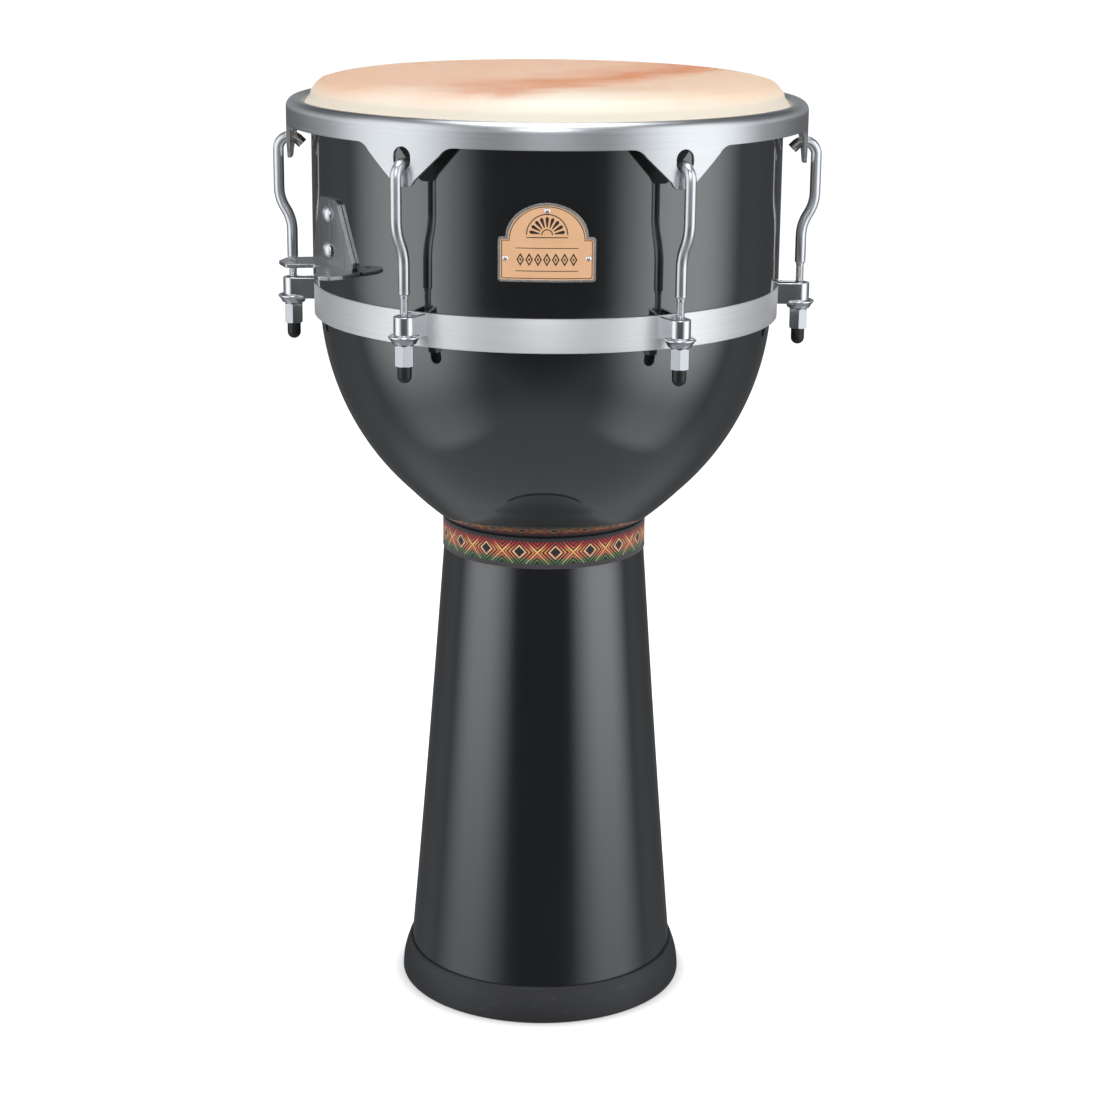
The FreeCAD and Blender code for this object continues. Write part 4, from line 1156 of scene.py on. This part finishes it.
# %% Band
band_inner = band_r - 2.8 * MM
band_outline = [(band_inner, band_z), (band_r - 0.6 * MM, band_z)]
bend(band_outline, (band_r - 0.18 * MM, band_z + 0.18 * MM), (band_r, band_z + 0.6 * MM), 4)
run(band_outline, (band_r, band_top - 0.6 * MM), 3)
bend(band_outline, (band_r - 0.18 * MM, band_top - 0.18 * MM), (band_r - 0.6 * MM, band_top), 4)
band_outline += [(band_inner, band_top)]
band = lathe("band", band_outline, 256)
paint(band, band_steel)
shorthand(band, "shell", "band_steel", "side_band")

# %% [markdown]
# ## Strap bracket
#
# A carrying strap hooks on to a bracket beside the front lug. It is one pressing: a tapered plate that
# hugs the shell, and a flange bent out at its foot with two pierced prongs. We cut the plate flat, roll
# it to the shell, and lay the flange across it. Two carriage bolts hold it, one of them in a slot so that
# it can be levelled.

# %% Plate, rolled to the shell
strap_angle = math.radians(-61)
plate_t = 3 * MM
plate_in = side_r + 0.2 * MM
plate_out = plate_in + plate_t
plate_z = band_top + 22.2 * MM
plate_top = plate_z + 49 * MM


def rounded(points, radius, pieces=5):
    """A polygon whose corners are replaced by arcs."""
    found = []
    count = len(points)
    for i in range(count):
        before = Vector(points[i - 1])
        corner = Vector(points[i])
        after = Vector(points[(i + 1) % count])
        back = (before - corner).normalized()
        onward = (after - corner).normalized()
        half = back.angle(onward) / 2
        reach = min(radius / math.tan(half), 0.45 * (before - corner).length,
                    0.45 * (after - corner).length)
        start = corner + back * reach
        end = corner + onward * reach
        middle_dir = (back + onward).normalized()
        small_r = reach * math.tan(half)
        middle = corner + middle_dir * (small_r / math.sin(half) - small_r)
        found.append(tuple(start))
        found += arc(tuple(start), tuple(middle), tuple(end), pieces)
    return found


foot_of_plate = plate_z - 1.6 * MM
corners = ((-40 * MM, foot_of_plate), (40 * MM, foot_of_plate), (15 * MM, plate_top), (-15 * MM, plate_top))
plate_outline = rounded(corners, 6 * MM)
plate = slab("strap_plate", plate_outline, plate_in, plate_out)
bolt_low_z = plate_z + 11 * MM
bolt_high_z = plate_z + 37.4 * MM
slot_outline = [(-5.75 * MM, bolt_low_z - 4.25 * MM), (5.75 * MM, bolt_low_z - 4.25 * MM)]
bend(slot_outline, (10 * MM, bolt_low_z), (5.75 * MM, bolt_low_z + 4.25 * MM), 12)
slot_outline += [(-5.75 * MM, bolt_low_z + 4.25 * MM)]
slot_outline += arc(slot_outline[-1], (-10 * MM, bolt_low_z), (-5.75 * MM, bolt_low_z - 4.25 * MM), 12)[:-1]
cut_away(plate, slab("slot", slot_outline, plate_in - 0.01, plate_out + 0.01))
slice_across(plate, 40 * MM, 4 * MM)
roll_round(plate, plate_out)
modify(plate, "BEVEL", width=0.6 * MM, segments=3, limit_method="ANGLE", angle_limit=math.radians(45))

# %% Flange with two prongs
right_prong = ((41.0, -6.4), (47.5, 12.6), (49.0, 23.6), (43.0, 29.6), (34.0, 29.1), (2.0, 10.1))
left_prong = ((-10.0, 10.1), (-14.0, 21.1), (-18.5, 29.6), (-37.0, 27.1), (-49.5, 15.1), (-42.0, -7.4))
prong_holes = ((31.0, 18.6), (-32.0, 17.6))
flange_points = [(side * MM, side_r + out * MM) for side, out in right_prong + left_prong]
flange = upright_bar("flange", rounded(flange_points, 3 * MM, 4), plate_z - plate_t, plate_z)
hands_off()
bpy.ops.mesh.primitive_cylinder_add(vertices=256, radius=plate_in + 0.4 * MM, depth=0.1,
                                    location=(0, 0, plate_z))
cut_away(flange, bpy.context.object)
for side, out in prong_holes:
    hands_off()
    bpy.ops.mesh.primitive_cylinder_add(vertices=32, radius=3 * MM, depth=0.05,
                                        location=(side * MM, -side_r - out * MM, plate_z))
    cut_away(flange, bpy.context.object)
modify(flange, "BEVEL", width=0.7 * MM, segments=3, limit_method="ANGLE", angle_limit=math.radians(40))
hold(plate, flange)
bpy.ops.object.join()
plate.rotation_euler = (0, 0, strap_angle)
settle(plate)
plate.name = "strap_bracket_pressing"
smooth(plate, 35)
modify(plate, "WEIGHTED_NORMAL", keep_sharp=True)
paint(plate, bracket_steel)
shorthand(plate, "shell", "bracket_steel", "strap_bracket")

# %% Carriage bolts
bolt_outline = [(0.0, side_r - 17 * MM), (2.6 * MM, side_r - 17 * MM), (3.0 * MM, side_r - 16.5 * MM),
                (3.0 * MM, plate_out)]
bolt_outline += [(6.1 * MM, plate_out), (6.3 * MM, plate_out + 0.25 * MM),
                 (6.25 * MM, plate_out + 0.6 * MM)]
bend(bolt_outline, (4.2 * MM, plate_out + 2.55 * MM), (0.0, plate_out + 3.4 * MM), 14)
bolt = lathe("bolt", bolt_outline, 48)
bolt.rotation_euler = (math.pi / 2, 0, 0)
settle(bolt)
carriage_bolts = set_round(bolt, "carriage_bolts", ((strap_angle, bolt_low_z), (strap_angle, bolt_high_z)))
paint(carriage_bolts, rod_chrome)
shorthand(carriage_bolts, "shell", "chrome", "strap_bracket_bolts")
print("strap bracket:", len(plate.data.polygons), "bolts:", len(carriage_bolts.data.polygons))

# %% [markdown]
# ## The badge
#
# The badge is thin copper-coloured metal, a wide block with an arch on top, with a raised bright rim and
# a dark engraved line just inside it. Ours carries a plain ornament instead of any lettering: a fan of
# rays in the arch, and a row of lozenges between two rules in the block. Everything is drawn flat, and
# rolled to the shell at the end.

# %% Badge plate, rim and engraving
badge_turn = math.radians(1.0)
badge_low = low("badge_plate", 2)
badge_half = 34.3 * MM
arch_half = 29 * MM
arch_rise = 23.7 * MM
spring_z = badge_low + 31.4 * MM
badge_in = side_r + 0.05 * MM
badge_face = badge_in + 1.2 * MM


def badge_line(inset, corner):
    """The badge's outline, shrunk all round by an inset."""
    half = badge_half - inset
    arch = arch_half - inset
    spring = spring_z - inset
    bottom = badge_low + inset
    points = [(-half + corner, bottom), (half - corner, bottom)]
    near = corner * (1 - math.sqrt(0.5))
    bend(points, (half - near, bottom + near), (half, bottom + corner), 5)
    points += [(half, spring - corner)]
    bend(points, (half - near, spring - near), (half - corner, spring), 5)
    for i in range(49):
        turn_share = math.pi * i / 48
        points.append((arch * math.cos(turn_share), spring + arch_rise * math.sin(turn_share)))
    points += [(-half + corner, spring)]
    bend(points, (-half + near, spring - near), (-half, spring - corner), 5)
    points += [(-half, bottom + corner)]
    points += arc(points[-1], (-half + near, bottom + near), (-half + corner, bottom), 5)[:-1]
    return points


def inlay(name, outline, height=0.06 * MM):
    """A thin raised or filled mark on the badge's face."""
    return slab(name, outline, badge_face - 0.3 * MM, badge_face + height)


def frame_between(name, outside, inside, near, far):
    """A flat frame between two outlines."""
    piece = slab(name, outside, near, far)
    return cut_away(piece, slab("window", inside, near - 0.01, far + 0.01))


field = slab("badge_field", badge_line(0.9 * MM, 1.6 * MM), badge_in, badge_face)
rim = frame_between("badge_rim", badge_line(0, 2.2 * MM), badge_line(1.6 * MM, 1.4 * MM), badge_in,
                    badge_face + 0.6 * MM)
line = frame_between("badge_line", badge_line(2.25 * MM, 1.2 * MM), badge_line(2.75 * MM, 1.0 * MM),
                     badge_face - 0.2 * MM, badge_face + 0.03 * MM)

# %% Ornament
marks = []
fan_z = spring_z + 1.6 * MM
rays = 9
for i in range(rays):
    angle = math.pi * (i + 0.5) / rays
    along = Vector((math.cos(angle), math.sin(angle)))
    side = Vector((-along.y, along.x))
    start = Vector((0, fan_z)) + along * 5.4 * MM
    end = Vector((0, fan_z)) + along * 11.6 * MM
    narrow = side * 0.35 * MM
    wide = side * 1.25 * MM
    points = (start + narrow, start - narrow, end - wide, end + along * 1.2 * MM, end + wide)
    marks.append(inlay(f"ray_{i}", [tuple(point) for point in points]))


def ring_mark(name, inner, outer, steps=40):
    """A half ring over the fan's middle."""
    turns = [math.pi * i / steps for i in range(steps + 1)]
    points = [(outer * math.cos(turn), fan_z + outer * math.sin(turn)) for turn in turns]
    points += [(inner * math.cos(turn), fan_z + inner * math.sin(turn)) for turn in turns[::-1]]
    return inlay(name, points)


def rule_mark(name, z, half_w, half_h):
    """A straight rule across the badge."""
    return inlay(name,
                 [(-half_w, z - half_h), (half_w, z - half_h), (half_w, z + half_h), (-half_w, z + half_h)])


marks.append(ring_mark("ring_small", 3.4 * MM, 4.1 * MM))
marks.append(ring_mark("ring_large", 14.0 * MM, 14.7 * MM))
marks.append(rule_mark("rule_upper", spring_z - 0.2 * MM, 14.5 * MM, 0.3 * MM))
row_z = badge_low + 15.7 * MM


def lozenge_at(middle_x, share):
    """A lozenge in the badge's row, drawn at a share of its full size."""
    half_w = 2.7 * MM * share
    half_h = 4.6 * MM * share
    return [(middle_x - half_w, row_z), (middle_x, row_z - half_h),
            (middle_x + half_w, row_z), (middle_x, row_z + half_h)]


for i in range(-3, 4):
    middle_x = i * 6.2 * MM
    outside = lozenge_at(middle_x, 1.0)
    inside = lozenge_at(middle_x, 0.62)
    marks.append(frame_between(f"lozenge_{i}", outside, inside, badge_face - 0.3 * MM,
                               badge_face + 0.06 * MM))
    marks.append(inlay(f"heart_{i}", lozenge_at(middle_x, 0.28)))
for offset in (-8.0 * MM, 8.0 * MM):
    marks.append(rule_mark("rule", row_z + offset, 22 * MM, 0.25 * MM))

paint(field, copper)
paint(rim, badge_edge)
paint(line, engraving)
for mark in marks:
    paint(mark, engraving)
modify(rim, "BEVEL", width=0.25 * MM, segments=3, limit_method="ANGLE", angle_limit=math.radians(40))
hold(field, rim, line, *marks)
bpy.ops.object.join()
badge = field
badge.name = "badge"
slice_across(badge, badge_half, 3 * MM)
roll_round(badge, badge_face)
badge.rotation_euler = (0, 0, badge_turn)
settle(badge)
smooth(badge, 35)
modify(badge, "WEIGHTED_NORMAL", keep_sharp=True)
shorthand(badge, "shell", "badge_copper", "badge_plate")

# %% Badge pins
pin_outline = [(0.0, side_inner_r + 1 * MM), (1.3 * MM, side_inner_r + 1 * MM), (1.3 * MM, badge_face),
               (2.3 * MM, badge_face)]
pin_outline += [(2.3 * MM, badge_face + 0.2 * MM)]
bend(pin_outline, (1.55 * MM, badge_face + 0.95 * MM), (0.0, badge_face + 1.3 * MM), 8)
pin = lathe("pin", pin_outline, 32)
pin.rotation_euler = (math.pi / 2, 0, 0)
settle(pin)
pin_turn = 29.2 * MM / side_r
side_pin_z = badge_low + 16.4 * MM
pin_places = (
    (badge_turn, spring_z + arch_rise - 5.2 * MM),
    (badge_turn - pin_turn, side_pin_z),
    (badge_turn + pin_turn, side_pin_z),
)
pin_heads = set_round(pin, "badge_pin_heads", pin_places)
paint(pin_heads, badge_edge)
shorthand(pin_heads, "shell", "badge_copper", "badge_pins")
print("badge faces:", len(badge.data.polygons))

# %% [markdown]
# ## What stays from the frame
#
# Four nodes are inside the drum, where a plain solid is all there is to see: the sleeve in the neck, the
# flesh hoop in the skin's lap, and the bolts' washers and nuts. They keep their own meshes and get the
# same finishes as the pieces round them.

# %% Carried-over nodes
paint(frame["nodes"]["neck_sleeve"], fibreglass)
smooth(frame["nodes"]["neck_sleeve"], 30)
for node in ("flesh_hoop", "strap_bracket_washers", "strap_bracket_nuts"):
    paint(frame["nodes"][node], zinc_steel)
    smooth(frame["nodes"][node], 30)

# %% [markdown]
# ## Studio
#
# Black lacquer and chrome show the room rather than themselves, so the room is the last thing we build.
# The floor is one pale sheet that runs far back, so nothing but floor is behind the drum. Two tall soft
# boxes stand to the left and right and a little forward, which puts an upright highlight on each flank of
# the shell and leaves its middle dark. A small box high in front lights the hoop, the badge and the nuts,
# and a broad top light fills the head and the foot.

# %% Floor and world
def floor_paint():
    """White studio sheet with a faint glow, and a painted contact shadow: the glow is weaker right beside the
    foot.
    """
    r = Recipe("studio_floor")
    from_axis = r.nodes.new("ShaderNodeVectorMath")
    from_axis.operation = "LENGTH"
    r.links.new(r.place.outputs["Object"], from_axis.inputs[0])
    # Painted contact shadow: the floor's glow falls from 0.97 to 0.44 in a ring just round the foot.
    glow = r.ease(from_axis.outputs["Value"], foot_r - 0.004, foot_r + 0.016, 0.44, 0.97)
    cloud = r.noise(0.6, 2)
    colour = r.mix(cloud, (0.50, 0.50, 0.50), (0.52, 0.52, 0.52))
    return r.finish(Base_Color=colour, Roughness=0.9, Emission_Color=(1.0, 1.0, 1.0),
                    Emission_Strength=glow)


hands_off()
bpy.ops.mesh.primitive_plane_add(size=120, location=(0, 0, 0))
floor = bpy.context.object
floor.name = "studio_floor"
floor.visible_glossy = False
paint(floor, floor_paint())

world = bpy.data.worlds.new("studio")
bpy.context.scene.world = world
world.use_nodes = True
room = world.node_tree
direction = room.nodes.new("ShaderNodeTexCoord")
parts = room.nodes.new("ShaderNodeSeparateXYZ")
room.links.new(direction.outputs["Generated"], parts.inputs[0])


def room_ramp(output, start, end, low_value, high_value):
    """How the room's light changes from one direction to another."""
    node = room.nodes.new("ShaderNodeMapRange")
    node.interpolation_type = "SMOOTHSTEP"
    for key, value in (("From Min", start), ("From Max", end), ("To Min", low_value),
                       ("To Max", high_value)):
        node.inputs[key].default_value = value
    room.links.new(output, node.inputs["Value"])
    return node.outputs["Result"]


def room_math(operation, a, b):
    """A sum for the room's light."""
    node = room.nodes.new("ShaderNodeMath")
    node.operation = operation
    room.links.new(a, node.inputs[0])
    room.links.new(b, node.inputs[1])
    return node.outputs[0]


dark_front = room_ramp(parts.outputs["Y"], -0.945, -0.76, 0.07, 0.19)
dim_back = room_ramp(parts.outputs["Y"], 0.35, 0.85, 1.0, 0.45)
below = room_ramp(parts.outputs["Z"], -0.80, -0.55, 0.11, 0.0)
skyline = room_math("MULTIPLY", room_ramp(parts.outputs["Z"], -0.10, 0.0, 0.0, 0.6),
                    room_ramp(parts.outputs["Z"], 0.15, 0.45, 1.0, 0.0))
background = room.nodes["Background"]
background.inputs["Color"].default_value = (0.92, 0.96, 1.0, 1.0)
sides = room_math("MULTIPLY", room_math("ADD", dark_front, skyline), dim_back)
room.links.new(room_math("ADD", sides, below), background.inputs["Strength"])


def soft_box(name, place, aim, width, height, glow, soft=0.45, foot_share=1.0):
    """A soft box: a glowing sheet that fades towards its sides and can be dimmer at its foot."""
    hands_off()
    bpy.ops.mesh.primitive_plane_add(size=1, location=(0, 0, 0))
    box = bpy.context.object
    box.name = name
    box.scale = (width, height, 1)
    settle(box)
    box.location = place
    box.rotation_euler = (Vector(aim) - Vector(place)).to_track_quat("-Z", "Y").to_euler()
    settle(box)
    r = Recipe(name)
    split = r.nodes.new("ShaderNodeSeparateXYZ")
    r.links.new(r.place.outputs["UV"], split.inputs[0])
    fade = 1.0
    for axis, reach in (("X", soft), ("Y", 0.12)):
        side = r.math("ABSOLUTE", r.math("SUBTRACT", split.outputs[axis], 0.5))
        fade = r.math("MULTIPLY", r.ease(side, 0.5, 0.5 - reach, 0.0, 1.0), fade)
    fade = r.math("MULTIPLY", fade, r.ease(split.outputs["Y"], 0.26, 0.50, foot_share, 1.0))
    r.finish(Base_Color=(0.0, 0.0, 0.0), Roughness=1.0, Emission_Color=(0.94, 0.97, 1.0),
             Emission_Strength=glow,
             Specular_IOR_Level=0.0, Alpha=fade)
    paint(box, r.material)
    box.visible_camera = False
    return box


left_box = soft_box("left_box", (-1.00, -0.47, 0.35), (0, 0, 0.35), 1.8, 3.1, 1.30, 0.45, 0.32)
right_box = soft_box("right_box", (1.00, -0.47, 0.35), (0, 0, 0.35), 1.8, 3.1, 1.50, 0.45, 0.32)
front_box = soft_box("front_box", (0, -2.3, 2.0), (0, 0, 0.6), 1.6, 1.4, 4.4)
top_box = soft_box("top_box", (0, 0.1, 2.7), (0, 0, 0), 2.2, 2.0, 5.2)
scene = bpy.context.scene
scene.view_settings.view_transform = "Standard"
print("soft boxes:", [box.name for box in (left_box, right_box, front_box, top_box)])
